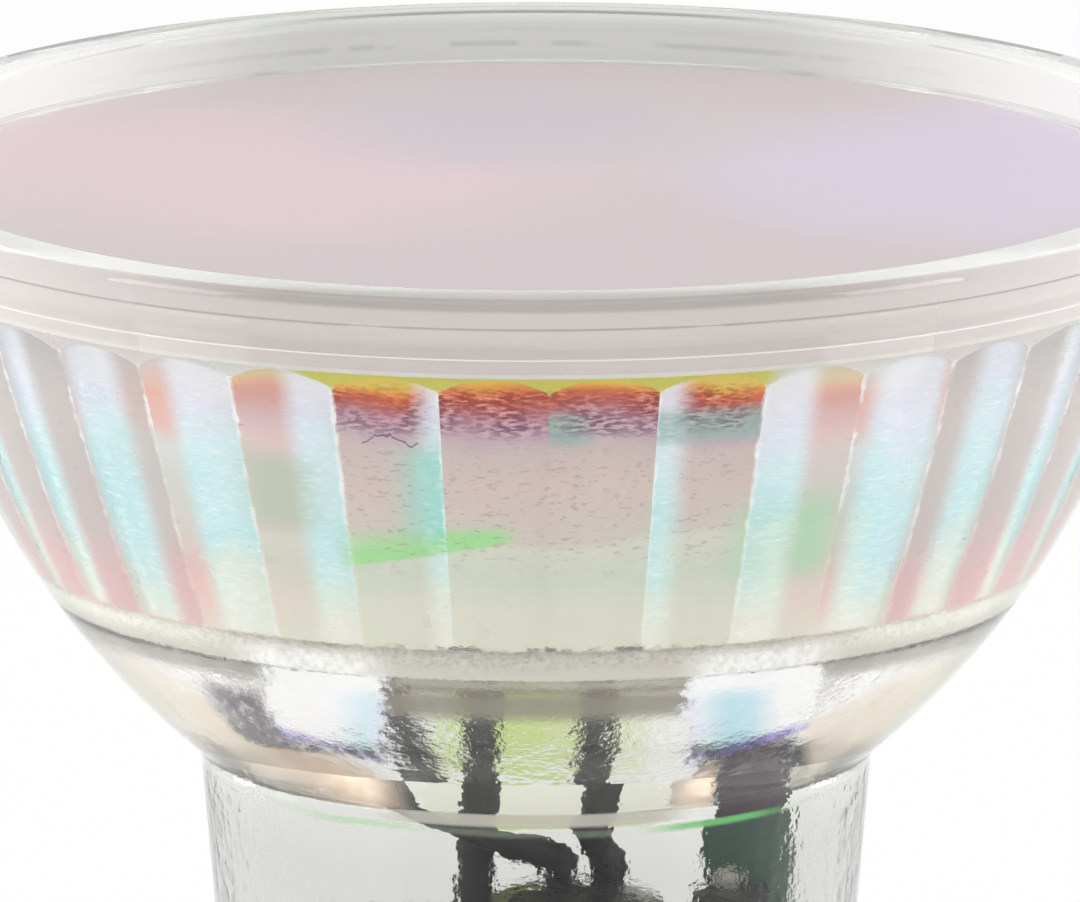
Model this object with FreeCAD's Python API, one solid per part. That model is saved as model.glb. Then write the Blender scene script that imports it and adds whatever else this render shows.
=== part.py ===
import FreeCAD, Part
import math
import os

# Reflector spotlight bulb, all sizes in millimetres.
# The origin is the centre of the cap's end face, where the lamp meets its holder.
# +Z runs along the lamp's axis to the light face, and the two pins lie along X.

# Contact pins of the standard twist-lock cap
PIN_SPACING = 10.0
PIN_LENGTH = 7.0
PIN_HEAD_RADIUS = 2.5
PIN_HEAD_LENGTH = 2.7
PIN_HEAD_ROUND = 0.35
PIN_NECK_RADIUS = 1.55
PIN_SHANK_RADIUS = 1.6
PIN_HOLE_CLEARANCE = 0.05
PIN_FLARE_RADIUS = 2.3
PIN_FLARE_LENGTH = 0.5
WASHER_RADIUS = 2.6
WASHER_THICKNESS = 0.3
WASHER_EDGE_GAP = 0.2

# Outline of the pressed glass, from the base up and outwards
BASE_WALL = 1.6
BASE_HEIGHT = 8.2
BASE_SHOULDER = 1.6
BASE_SHOULDER_ROUND = 0.7
CAP_CHAMFER = 1.3
NECK_STEP = 1.34
NECK_FLARE = 1.3
NECK_LENGTH = 15.5
NECK_TOP_ROUND = 1.5
BOWL_LOWER_HEIGHT = 8.6
BOWL_LOWER_FLARE = 7.1
BOWL_ARC_RADIUS = 29.7
BOWL_UPPER_HEIGHT = 10.93
BOWL_UPPER_FLARE = 4.86
COLLAR_STEP = 1.0
COLLAR_HEIGHT = 2.17
COLLAR_TOP_ROUND = 0.35
COLLAR_INNER_ROUND = 0.4
COLLAR_LOWER_ROUND = 0.3
COLLAR_ROOT_ROUND = 0.45
PARTING_DROP = 1.0
PARTING_STEP = 0.08

# Hollow of the glass
FLOOR_THICKNESS = 2.4
NECK_WALL = 1.9
CHAMBER_WALL = 2.9
CHAMBER_FOOT_RISE = 2.1
SHELF_RISE = 6.5
SHELF_WIDTH = 1.5
SEAT_WALL = 2.0
COLLAR_WALL = 2.2
LEDGE_DEPTH = 3.1
LEDGE_WIDTH = 4.0

# Flutes pressed into the inner face of the bowl
FLUTE_COUNT = 32
FLUTE_PHASE_DEG = 1.35
FLUTE_DEPTH = 0.36
FLUTE_FLOOR_STEP = 0.12
FLUTE_BOW = 0.05
FLUTE_TOP_DROP = 0.75
FLUTE_ARCH_RISE = 1.5
FLUTE_CORE_GAP = 0.4
FLUTE_SECTIONS = 5

# Front lens
LENS_THICKNESS = 1.1
LENS_EDGE_GAP = 0.12
LENS_EDGE_ROUND = 0.2
BOND_THICKNESS = 0.15
LENS_BOND_WIDTH = 1.6

# Light board
BOARD_THICKNESS = 1.0
BOARD_EDGE_GAP = 0.15
BOARD_BOND_THICKNESS = 0.2
LED_COUNT = 10
LED_INSET = 5.2
LED_LENGTH = 3.5
LED_WIDTH = 2.8
LED_HEIGHT = 0.75
LED_WELL_MARGIN = 0.45
LED_WELL_DEPTH = 0.15
LED_CORNER_ROUND = 0.15

# Sleeved leads from the light board to the driver board
LEAD_RADIUS = 0.67
LEAD_CORE_RADIUS = 0.35
LEAD_CLEARANCE = 0.1
LEAD_CAPACITOR_GAP = 0.6
LEAD_LED_GAP = 1.4
LEAD_OVER_GAP = 0.9
LEAD_END_DROP = 1.0
LEAD_LEAN = 0.3
LEAD_BEND_SHARE = 0.45
LEAD_1_DROP = 6.0
LEAD_1_LANDING = 0.6
LEAD_1_REACH = 5.4
LEAD_2_DROP = 4.0
LEAD_2_TOP = (2.35, -1.9)
LEAD_2_KNEE = (1.8, -1.5, 1.9)
LEAD_3_DROP = 3.4
LEAD_3_TURN_DEG = 212
LEAD_3_X = 0.9
LEAD_3_KNEES = ((-3.4, -3.25, 3.4), (-1.4, -3.2, 2.2), (0.4, -1.7, 1.2))
LEAD_HOLE_CLEARANCE = 0.1
LEAD_SOLDER_RADIUS = 0.9
LEAD_SOLDER_HEIGHT = 0.6
PAD_SOLDER_LENGTH = 2.0
PAD_SOLDER_MARGIN = 0.15
PAD_SOLDER_ROUND = 0.4

# Potting in the base and the upright driver board that stands in it
POTTING_DROP = 0.2
DRIVER_THICKNESS = 1.0
DRIVER_SIDE_GAP = 0.3
DRIVER_FOOT_RISE = 2.6
DRIVER_FOOT_GAP = 0.3
DRIVER_TAB_WIDTH = 3.3
DRIVER_TAB_HEIGHT = 3.9
PART_GAP = 0.2
PART_SPACING = 0.3

# Bulk capacitor, upright in front of the driver board
CAPACITOR_RADIUS = 3.15
CAPACITOR_LENGTH = 11.2
CAPACITOR_X = 1.35
CAPACITOR_SLEEVE = 0.15
CAPACITOR_SLEEVE_LIP = 0.8
CAPACITOR_GROOVE_DEPTH = 0.3
CAPACITOR_GROOVE_RISE = 1.6
CAPACITOR_BUNG_LENGTH = 1.3
CAPACITOR_VENT_LENGTH = 4.2
CAPACITOR_VENT_WIDTH = 0.25
CAPACITOR_VENT_DEPTH = 0.1
CAPACITOR_LEG_SPREAD = 2.5
LEG_RADIUS = 0.3
LEG_BEND = 0.7
LEG_STAND = 1.2

# Choke, upright behind the driver board
CHOKE_RADIUS = 2.8
CHOKE_HEIGHT = 6.4
CHOKE_WALL_GAP = 0.45
CHOKE_FLANGE = 1.0
CHOKE_CORE_RADIUS = 1.5
CHOKE_WINDING_GAP = 0.3
CHOKE_LEG_SPREAD = 2.6

# Small parts on the driver board, with width, depth and height
RECTIFIER_SIZE = (3.4, 2.0, 3.5)
RECTIFIER_FOOT_PITCH = 2.54
CHIP_SIZE = (3.4, 1.4, 4.3)
CHIP_FOOT_PITCH = 1.27
DIODE_SIZE = (2.6, 2.1, 4.2)
DIODE_GAP = 0.4
RESISTOR_SIZE = (2.0, 0.5, 1.25)
RESISTOR_COUNT = 4
RESISTOR_PITCH = 1.6
RESISTOR_RISE = 1.3
CERAMIC_SIZE = (1.6, 1.2, 2.0)
CERAMIC_INSETS_AND_RISES = ((1.9, 2.8), (4.3, 2.8), (1.9, 5.2))
MOULDING_ROUND = 0.25
FOOT_LENGTH = 0.6
FOOT_WIDTH = 0.45
FOOT_THICKNESS = 0.2

# Film capacitor on the back of the driver board's tab
FILM_SIZE = (2.6, 1.9, 9.6)
FILM_STAND = 0.5
FILM_ROUND = 0.7
FILM_LEG_SPREAD = 1.6

# Fuse resistor between the right pin and the driver board
FUSE_RADIUS = 1.1
FUSE_WAIST_RADIUS = 0.95
FUSE_LENGTH = 4.6
FUSE_CAP_LENGTH = 1.0
FUSE_LEAD_RISE = 0.6
FUSE_STAND = 1.4
FUSE_BOARD_GAP = 1.0
FUSE_CAPACITOR_GAP = 0.8
TAIL_RADIUS = 0.4
TAIL_RISE = 0.8
TAIL_BEND_SHARE = 0.4
TAIL_OVER_POTTING = 0.3

# Levels that follow from the sizes above
NECK_LOW_Z = BASE_HEIGHT + BASE_SHOULDER
NECK_TOP_Z = NECK_LOW_Z + NECK_LENGTH
BOWL_JOIN_Z = NECK_TOP_Z + BOWL_LOWER_HEIGHT
COLLAR_LOW_Z = BOWL_JOIN_Z + BOWL_UPPER_HEIGHT
GLASS_HEIGHT = COLLAR_LOW_Z + COLLAR_HEIGHT
LEDGE_Z = GLASS_HEIGHT - LEDGE_DEPTH
SHELF_Z = NECK_TOP_Z + SHELF_RISE
BOARD_LOW_Z = SHELF_Z + BOARD_BOND_THICKNESS
BOARD_TOP_Z = BOARD_LOW_Z + BOARD_THICKNESS
PIN_TOP_Z = FLOOR_THICKNESS + WASHER_THICKNESS + PIN_FLARE_LENGTH
POTTING_TOP_Z = BASE_HEIGHT - POTTING_DROP
TAIL_TOP_Z = POTTING_TOP_Z + TAIL_OVER_POTTING
RECTIFIER_Z = TAIL_TOP_Z + PAD_SOLDER_LENGTH + PART_SPACING + RECTIFIER_SIZE[2] / 2
CHIP_Z = RECTIFIER_Z + RECTIFIER_SIZE[2] / 2 + PART_SPACING + CHIP_SIZE[2] / 2
DRIVER_LOW_Z = PIN_TOP_Z + DRIVER_FOOT_RISE
DRIVER_TOP_Z = CHIP_Z + CHIP_SIZE[2] / 2 + PART_SPACING
CAPACITOR_LOW_Z = POTTING_TOP_Z + LEG_STAND
CAPACITOR_TOP_Z = CAPACITOR_LOW_Z + CAPACITOR_LENGTH
CHOKE_LOW_Z = POTTING_TOP_Z + LEG_STAND
FILM_LOW_Z = DRIVER_TOP_Z + FILM_STAND
FUSE_LOW_Z = POTTING_TOP_Z + FUSE_STAND
FUSE_TOP_Z = FUSE_LOW_Z + FUSE_LENGTH
FUSE_LEAD_Z = FUSE_TOP_Z + FUSE_LEAD_RISE
DIODE_Z = FUSE_LEAD_Z + LEG_RADIUS + DIODE_GAP + FOOT_LENGTH + DIODE_SIZE[2] / 2

# Radii that follow, from the pins outwards
BASE_BORE_RADIUS = PIN_SPACING / 2 + WASHER_RADIUS + WASHER_EDGE_GAP
BASE_RADIUS = BASE_BORE_RADIUS + BASE_WALL
NECK_LOW_RADIUS = BASE_RADIUS + NECK_STEP
NECK_TOP_RADIUS = NECK_LOW_RADIUS + NECK_FLARE
NECK_BORE_LOW_RADIUS = NECK_LOW_RADIUS - NECK_WALL
BOWL_JOIN_RADIUS = NECK_TOP_RADIUS + BOWL_LOWER_FLARE
BOWL_TOP_RADIUS = BOWL_JOIN_RADIUS + BOWL_UPPER_FLARE
RIM_RADIUS = BOWL_TOP_RADIUS + COLLAR_STEP
POCKET_RADIUS = RIM_RADIUS - COLLAR_WALL
FLUTE_TOP_RADIUS = POCKET_RADIUS - LEDGE_WIDTH

# Places across the neck
DRIVER_FRONT_Y = -DRIVER_THICKNESS / 2
DRIVER_BACK_Y = DRIVER_THICKNESS / 2
DRIVER_HALF_WIDTH = NECK_BORE_LOW_RADIUS - DRIVER_SIDE_GAP
TAB_BORE_RADIUS = NECK_BORE_LOW_RADIUS + NECK_FLARE * (DRIVER_TOP_Z - NECK_LOW_Z) / NECK_LENGTH
TAB_EDGE_X = TAB_BORE_RADIUS - DRIVER_SIDE_GAP
TAB_MIDDLE_X = TAB_EDGE_X - DRIVER_TAB_WIDTH / 2
DIODE_X = DRIVER_HALF_WIDTH - DRIVER_TAB_WIDTH / 2
LEAD_FRONT_Y = DRIVER_FRONT_Y - LEAD_RADIUS - LEAD_CLEARANCE
LEAD_BACK_Y = DRIVER_BACK_Y + LEAD_RADIUS + LEAD_CLEARANCE
PAD_HALF_WIDTH = LEAD_RADIUS + PAD_SOLDER_MARGIN
CAPACITOR_Y = DRIVER_FRONT_Y - PART_GAP - CAPACITOR_RADIUS
LEAD_TO_CAPACITOR = CAPACITOR_RADIUS + LEAD_RADIUS + LEAD_CAPACITOR_GAP
LEAD_1_X = CAPACITOR_X - math.sqrt(LEAD_TO_CAPACITOR**2 - (LEAD_FRONT_Y - CAPACITOR_Y) ** 2)
LEFT_COLUMN_X = (LEAD_1_X - PAD_HALF_WIDTH - DRIVER_HALF_WIDTH) / 2
CHOKE_Y = DRIVER_BACK_Y + PART_GAP + CHOKE_RADIUS
CHOKE_TO_AXIS = NECK_BORE_LOW_RADIUS - CHOKE_WALL_GAP - CHOKE_RADIUS
CHOKE_X = -math.sqrt(CHOKE_TO_AXIS**2 - CHOKE_Y**2)
FUSE_X = CAPACITOR_X + CAPACITOR_RADIUS + FUSE_CAPACITOR_GAP + FUSE_RADIUS
FUSE_Y = DRIVER_FRONT_Y - FUSE_BOARD_GAP - FUSE_RADIUS
FILM_FRONT_Y = DRIVER_BACK_Y + LEAD_CLEARANCE
TAIL_Y = DRIVER_FRONT_Y - TAIL_RADIUS - LEAD_CLEARANCE

ORIGIN = FreeCAD.Vector(0, 0, 0)
UP = FreeCAD.Vector(0, 0, 1)
pieces = {}


def at(x, y, z):
    return FreeCAD.Vector(x, y, z)


def section_point(radius, z):
    return FreeCAD.Vector(radius, 0, z)


def straight(start, end):
    return Part.LineSegment(start, end).toShape()


def straights(points):
    return [straight(a, b) for a, b in zip(points, points[1:])]


def arc_of_radius(start, end, radius, towards):
    """The short arc of this radius from start to end that bows in the given direction."""
    middle = (start + end) * 0.5
    half = (end - start).Length / 2
    sagitta = radius - math.sqrt(radius**2 - half**2)
    along = (end - start).normalize()
    bow = (towards - along * towards.dot(along)).normalize()
    return Part.Arc(start, middle + bow * sagitta, end).toShape()


def arc_on_tangent(start, tangent, end):
    """The arc from start to end that leaves start along the given direction."""
    chord = end - start
    turn = tangent.getAngle(chord)
    bow = (tangent - chord * (tangent.dot(chord) / chord.dot(chord))).normalize()
    sagitta = chord.Length / 2 * math.tan(turn / 2)
    return Part.Arc(start, (start + end) * 0.5 + bow * sagitta, end).toShape()


def turned(edges):
    """A solid turned about the lamp's axis from a closed section."""
    return Part.Face(Part.Wire(edges)).revolve(ORIGIN, UP, 360)


def box(x_range, y_range, z_range):
    size = [high - low for low, high in (x_range, y_range, z_range)]
    return Part.makeBox(*size, at(x_range[0], y_range[0], z_range[0]))


def rod(radius, start, end):
    return Part.makeCylinder(radius, (end - start).Length, start, end - start)


def ring(outer, inner, low_z, height, x=0.0, y=0.0):
    whole = Part.makeCylinder(outer, height, at(x, y, low_z))
    return whole.cut(Part.makeCylinder(inner, height, at(x, y, low_z)))


def circles_at(solid, radius, z):
    """The edges of a turned solid that are circles of this radius about Z at this level."""
    found = []
    for edge in solid.Edges:
        if not isinstance(edge.Curve, Part.Circle):
            continue
        near = abs(edge.Curve.Radius - radius) < 1e-4
        if near and abs(edge.Curve.Center.z - z) < 1e-4:
            found.append(edge)
    return found


def bent_path(points, share):
    """Straight runs joined by tangent arcs, each as large as a share of its shorter run allows."""
    edges = []
    last = points[0]
    for before, corner, after in zip(points, points[1:], points[2:]):
        inward = (before - corner).normalize()
        outward = (after - corner).normalize()
        reach = share * min((before - corner).Length, (after - corner).Length)
        start = corner + inward * reach
        end = corner + outward * reach
        half_turn = (math.pi - inward.getAngle(outward)) / 2
        bend = reach / math.tan(half_turn)
        bisector = (inward + outward).normalize()
        middle = corner + bisector * (bend / math.cos(half_turn) - bend)
        edges.append(straight(last, start))
        edges.append(Part.Arc(start, middle, end).toShape())
        last = end
    edges.append(straight(last, points[-1]))
    return Part.Wire(edges)


def round_wire(points, radius, share=LEAD_BEND_SHARE):
    """A round wire along bent runs through the given points."""
    path = bent_path(points, share)
    circle = Part.Circle(points[0], points[1] - points[0], radius).toShape()
    return path.makePipeShell([Part.Wire([circle])], True, False)


# The glass: one pressed piece with neck, bowl and collar


def glass_blank():
    neck_top = section_point(NECK_TOP_RADIUS, NECK_TOP_Z)
    bowl_join = section_point(BOWL_JOIN_RADIUS, BOWL_JOIN_Z)
    bowl_top = section_point(BOWL_TOP_RADIUS, COLLAR_LOW_Z)
    parting_z = GLASS_HEIGHT - PARTING_DROP
    upper_radius = RIM_RADIUS - PARTING_STEP
    below = straights(
        [
            section_point(0, 0),
            section_point(BASE_RADIUS - CAP_CHAMFER, 0),
            section_point(BASE_RADIUS, CAP_CHAMFER),
            section_point(BASE_RADIUS, BASE_HEIGHT),
            section_point(NECK_LOW_RADIUS, NECK_LOW_Z),
            neck_top,
        ]
    )
    above = straights(
        [
            bowl_top,
            section_point(RIM_RADIUS, COLLAR_LOW_Z),
            section_point(RIM_RADIUS, parting_z),
            section_point(upper_radius, parting_z),
            section_point(upper_radius, GLASS_HEIGHT),
            section_point(0, GLASS_HEIGHT),
            section_point(0, 0),
        ]
    )
    lower_bowl = arc_of_radius(neck_top, bowl_join, BOWL_ARC_RADIUS, at(1, 0, -1))
    upper_bowl = arc_on_tangent(bowl_join, lower_bowl.tangentAt(lower_bowl.LastParameter), bowl_top)
    blank = turned(below + [lower_bowl, upper_bowl] + above)
    rounds = [
        (NECK_TOP_RADIUS, NECK_TOP_Z, NECK_TOP_ROUND),
        (BOWL_TOP_RADIUS, COLLAR_LOW_Z, COLLAR_ROOT_ROUND),
        (RIM_RADIUS, COLLAR_LOW_Z, COLLAR_LOWER_ROUND),
        (upper_radius, GLASS_HEIGHT, COLLAR_TOP_ROUND),
        (BASE_RADIUS, BASE_HEIGHT, BASE_SHOULDER_ROUND),
        (NECK_LOW_RADIUS, NECK_LOW_Z, BASE_SHOULDER_ROUND),
    ]
    for radius, z, size in rounds:
        blank = blank.makeFillet(size, circles_at(blank, radius, z))
    return blank


def lower_bowl_radius(z):
    """Radius of the lower bowl's outer face at a level."""
    foot = section_point(NECK_TOP_RADIUS, NECK_TOP_Z)
    top = section_point(BOWL_JOIN_RADIUS, BOWL_JOIN_Z)
    bowl = arc_of_radius(foot, top, BOWL_ARC_RADIUS, at(1, 0, -1)).Curve
    return bowl.Center.x + math.sqrt(bowl.Radius**2 - (bowl.Center.z - z) ** 2)


BOARD_SEAT_RADIUS = lower_bowl_radius(SHELF_Z) - SEAT_WALL
FLUTE_LOW_RADIUS = BOARD_SEAT_RADIUS + FLUTE_FLOOR_STEP
BOARD_RADIUS = BOARD_SEAT_RADIUS - BOARD_EDGE_GAP
LED_RING_RADIUS = BOARD_RADIUS - LED_INSET
FLUTE_TOP_Z = LEDGE_Z - FLUTE_TOP_DROP


def flute_edge_radius(z):
    """Radius of the ridges between flutes at a level: a slope with a slight outward bow."""
    share = (z - BOARD_TOP_Z) / (LEDGE_Z - BOARD_TOP_Z)
    slope = FLUTE_LOW_RADIUS + (FLUTE_TOP_RADIUS - FLUTE_LOW_RADIUS) * share
    return slope + 4 * FLUTE_BOW * share * (1 - share)


def fluted_ring(z):
    """A closed ring of outward arcs, one for each flute, at one level."""
    edge_radius = flute_edge_radius(z)
    crown_radius = edge_radius + FLUTE_DEPTH
    pitch = 2 * math.pi / FLUTE_COUNT
    first = math.radians(FLUTE_PHASE_DEG - 90)
    arcs = []
    for number in range(FLUTE_COUNT):
        points = []
        for share, radius in ((0, edge_radius), (0.5, crown_radius), (1, edge_radius)):
            turn = first + pitch * ((number + share) % FLUTE_COUNT)
            points.append(at(radius * math.cos(turn), radius * math.sin(turn), z))
        arcs.append(Part.Arc(*points).toShape())
    return Part.Wire(arcs)


def fluted_core():
    step = (LEDGE_Z - BOARD_TOP_Z) / (FLUTE_SECTIONS - 1)
    levels = [BOARD_TOP_Z + step * number for number in range(FLUTE_SECTIONS)]
    return Part.makeLoft([fluted_ring(z) for z in levels], True, False)


def hollow_core():
    """Everything inside the glass but the flutes, turned in one."""
    chamber_foot_z = NECK_TOP_Z + CHAMBER_FOOT_RISE
    neck_bore_top = NECK_TOP_RADIUS - NECK_WALL + NECK_FLARE * CHAMBER_FOOT_RISE / NECK_LENGTH
    shelf_radius = BOARD_SEAT_RADIUS - SHELF_WIDTH
    chamber_foot = section_point(neck_bore_top, chamber_foot_z)
    chamber_top = section_point(shelf_radius, SHELF_Z)
    arch_low_radius = flute_edge_radius(FLUTE_TOP_Z) - FLUTE_CORE_GAP
    arch_low_z = FLUTE_TOP_Z - FLUTE_CORE_GAP * FLUTE_ARCH_RISE
    arch_top_radius = arch_low_radius + (LEDGE_Z - arch_low_z) / FLUTE_ARCH_RISE
    below = straights(
        [
            section_point(0, FLOOR_THICKNESS),
            section_point(BASE_BORE_RADIUS, FLOOR_THICKNESS),
            section_point(BASE_BORE_RADIUS, BASE_HEIGHT),
            section_point(NECK_BORE_LOW_RADIUS, NECK_LOW_Z),
            chamber_foot,
        ]
    )
    above = straights(
        [
            chamber_top,
            section_point(BOARD_SEAT_RADIUS, SHELF_Z),
            section_point(BOARD_SEAT_RADIUS, BOARD_TOP_Z),
            section_point(FLUTE_LOW_RADIUS - FLUTE_CORE_GAP, BOARD_TOP_Z),
            section_point(arch_low_radius, arch_low_z),
            section_point(arch_top_radius, LEDGE_Z),
            section_point(POCKET_RADIUS, LEDGE_Z),
            section_point(POCKET_RADIUS, GLASS_HEIGHT),
            section_point(0, GLASS_HEIGHT),
            section_point(0, FLOOR_THICKNESS),
        ]
    )
    chamber_arc_radius = BOWL_ARC_RADIUS - CHAMBER_WALL
    chamber = arc_of_radius(chamber_foot, chamber_top, chamber_arc_radius, at(1, 0, -1))
    return turned(below + [chamber] + above)


def reflector_glass():
    glass = glass_blank().cut(hollow_core()).cut(fluted_core())
    hole_radius = PIN_SHANK_RADIUS + PIN_HOLE_CLEARANCE
    for side in (-1, 1):
        centre = at(side * PIN_SPACING / 2, 0, 0)
        glass = glass.cut(rod(hole_radius, centre, centre + UP * FLOOR_THICKNESS))
    return glass.makeFillet(COLLAR_INNER_ROUND, circles_at(glass, POCKET_RADIUS, GLASS_HEIGHT))


pieces["reflector_glass"] = reflector_glass()


# The front lens and the ring of adhesive that holds it on its ledge

LENS_LOW_Z = LEDGE_Z + BOND_THICKNESS
LENS_RADIUS = POCKET_RADIUS - LENS_EDGE_GAP


def front_lens():
    disc = Part.makeCylinder(LENS_RADIUS, LENS_THICKNESS, at(0, 0, LENS_LOW_Z))
    top_z = LENS_LOW_Z + LENS_THICKNESS
    return disc.makeFillet(LENS_EDGE_ROUND, circles_at(disc, LENS_RADIUS, top_z))


pieces["front_lens"] = front_lens()
pieces["lens_bond"] = ring(LENS_RADIUS, LENS_RADIUS - LENS_BOND_WIDTH, LEDGE_Z, BOND_THICKNESS)


# The leads' routes: the light board, the solder and the driver board all follow them

LEAD_TOP_Z = BOARD_LOW_Z
LEAD_END_Z = DRIVER_TOP_Z - LEAD_END_DROP
OVER_BOARD_Z = DRIVER_TOP_Z + LEAD_RADIUS + LEAD_OVER_GAP
LEAD_2_X = LEAD_3_X + 2 * PAD_HALF_WIDTH + LEAD_CLEARANCE


def lead_1_route():
    """Straight down to the front face, beside the bulk capacitor."""
    top_x = LEAD_1_X + LEAD_LEAN
    top_y = LEAD_FRONT_Y - LEAD_LEAN
    return [
        at(top_x, top_y, LEAD_TOP_Z),
        at(top_x, top_y, LEAD_TOP_Z - LEAD_1_DROP),
        at(LEAD_1_X, LEAD_FRONT_Y, DRIVER_TOP_Z + LEAD_1_LANDING),
        at(LEAD_1_X, LEAD_FRONT_Y, DRIVER_TOP_Z - LEAD_1_REACH),
    ]


def lead_2_route():
    """Down behind the bulk capacitor's top and over the board to its back face."""
    top_x, top_y = LEAD_2_TOP
    knee_x, knee_y, knee_rise = LEAD_2_KNEE
    return [
        at(top_x, top_y, LEAD_TOP_Z),
        at(top_x, top_y, LEAD_TOP_Z - LEAD_2_DROP),
        at(knee_x, knee_y, OVER_BOARD_Z + knee_rise),
        at(LEAD_2_X, LEAD_BACK_Y, OVER_BOARD_Z),
        at(LEAD_2_X, LEAD_BACK_Y, LEAD_END_Z),
    ]


def lead_3_route():
    """Aslant from the left, over the bulk capacitor and the board to its back face."""
    hole_radius = LED_RING_RADIUS - LED_LENGTH / 2 - LEAD_SOLDER_RADIUS - LEAD_LED_GAP
    turn = math.radians(LEAD_3_TURN_DEG)
    top_x = hole_radius * math.cos(turn)
    top_y = hole_radius * math.sin(turn)
    route = [at(top_x, top_y, LEAD_TOP_Z), at(top_x, top_y, LEAD_TOP_Z - LEAD_3_DROP)]
    for knee_x, knee_y, rise in LEAD_3_KNEES:
        route.append(at(knee_x, knee_y, CAPACITOR_TOP_Z + rise))
    route.append(at(LEAD_3_X, LEAD_BACK_Y, OVER_BOARD_Z))
    route.append(at(LEAD_3_X, LEAD_BACK_Y, LEAD_END_Z))
    return route


LEAD_ROUTES = {
    "led_lead_1": lead_1_route(),
    "led_lead_2": lead_2_route(),
    "led_lead_3": lead_3_route(),
}


# The light board, its adhesive and its light-emitting packages


def led_board():
    board = Part.makeCylinder(BOARD_RADIUS, BOARD_THICKNESS, at(0, 0, BOARD_LOW_Z))
    for route in LEAD_ROUTES.values():
        hole_radius = LEAD_CORE_RADIUS + LEAD_HOLE_CLEARANCE
        board = board.cut(rod(hole_radius, route[0], route[0] + UP * BOARD_THICKNESS))
    return board


def led_package():
    body = box(
        (-LED_WIDTH / 2, LED_WIDTH / 2),
        (-LED_LENGTH / 2, LED_LENGTH / 2),
        (0, LED_HEIGHT),
    )
    upright = [edge for edge in body.Edges if abs(edge.tangentAt(0).z) > 0.9]
    body = body.makeFillet(LED_CORNER_ROUND, upright)
    well_width = LED_WIDTH - 2 * LED_WELL_MARGIN
    well_length = LED_LENGTH - 2 * LED_WELL_MARGIN
    well = box(
        (-well_width / 2, well_width / 2),
        (-well_length / 2, well_length / 2),
        (LED_HEIGHT - LED_WELL_DEPTH, LED_HEIGHT),
    )
    return body.cut(well)


pieces["led_board"] = led_board()
pieces["board_bond"] = ring(
    BOARD_RADIUS, BOARD_SEAT_RADIUS - SHELF_WIDTH, SHELF_Z, BOARD_BOND_THICKNESS
)
for number in range(LED_COUNT):
    package = led_package()
    package.translate(at(LED_RING_RADIUS, 0, BOARD_TOP_Z))
    package.rotate(ORIGIN, UP, 360 / LED_COUNT * (number + 0.5))
    pieces[f"led_{number + 1:02d}"] = package


# The sleeved leads, their bare ends through the light board and their solder


def solder_dome(centre):
    """A low dome of solder on a face that looks up."""
    sphere_radius = (LEAD_SOLDER_RADIUS**2 + LEAD_SOLDER_HEIGHT**2) / (2 * LEAD_SOLDER_HEIGHT)
    sphere = Part.makeSphere(sphere_radius, centre - UP * (sphere_radius - LEAD_SOLDER_HEIGHT))
    keep = Part.makeCylinder(2 * LEAD_SOLDER_RADIUS, 2 * LEAD_SOLDER_HEIGHT, centre)
    return sphere.common(keep)


def pad_solder(end, face_y):
    """A block of solder on the driver board, under the end of a lead."""
    outward = 1 if end.y > face_y else -1
    far_y = end.y + outward * PAD_HALF_WIDTH
    block = box(
        (end.x - PAD_HALF_WIDTH, end.x + PAD_HALF_WIDTH),
        (min(face_y, far_y), max(face_y, far_y)),
        (end.z - PAD_SOLDER_LENGTH, end.z),
    )
    far = [
        edge
        for edge in block.Edges
        if abs(edge.CenterOfMass.y - far_y) < 1e-6 and abs(edge.tangentAt(0).z) > 0.9
    ]
    return block.makeFillet(PAD_SOLDER_ROUND, far)


cores = []
domes = []
pads = []
for name, route in LEAD_ROUTES.items():
    pieces[name] = round_wire(route, LEAD_RADIUS)
    cores.append(rod(LEAD_CORE_RADIUS, route[0], route[0] + UP * BOARD_THICKNESS))
    domes.append(solder_dome(route[0] + UP * BOARD_THICKNESS))
    board_face = DRIVER_FRONT_Y if route[-1].y < 0 else DRIVER_BACK_Y
    pads.append(pad_solder(route[-1], board_face))
pieces["led_lead_ends"] = Part.makeCompound(cores)
pieces["led_board_solder"] = Part.makeCompound(domes)
pieces["driver_solder"] = Part.makeCompound(pads)


# The driver board: one plate with a foot in the base and a tab at its right


def driver_board():
    thickness = (DRIVER_FRONT_Y, DRIVER_BACK_Y)
    foot_half = BASE_BORE_RADIUS - DRIVER_FOOT_GAP
    foot = box((-foot_half, foot_half), thickness, (DRIVER_LOW_Z, NECK_LOW_Z))
    body = box(
        (-DRIVER_HALF_WIDTH, DRIVER_HALF_WIDTH), thickness, (NECK_LOW_Z, DRIVER_TOP_Z)
    )
    tab = box(
        (TAB_EDGE_X - DRIVER_TAB_WIDTH, TAB_EDGE_X),
        thickness,
        (DRIVER_TOP_Z, DRIVER_TOP_Z + DRIVER_TAB_HEIGHT),
    )
    return foot.fuse([body, tab]).removeSplitter()


pieces["driver_board"] = driver_board()


# The bulk capacitor: an aluminium can in a shrunk sleeve, closed by a rubber bung


def capacitor_point(radius, height):
    return section_point(radius, CAPACITOR_LOW_Z + height)


def stand_at_capacitor(shape):
    shape.translate(at(CAPACITOR_X, CAPACITOR_Y, 0))
    return shape


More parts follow.
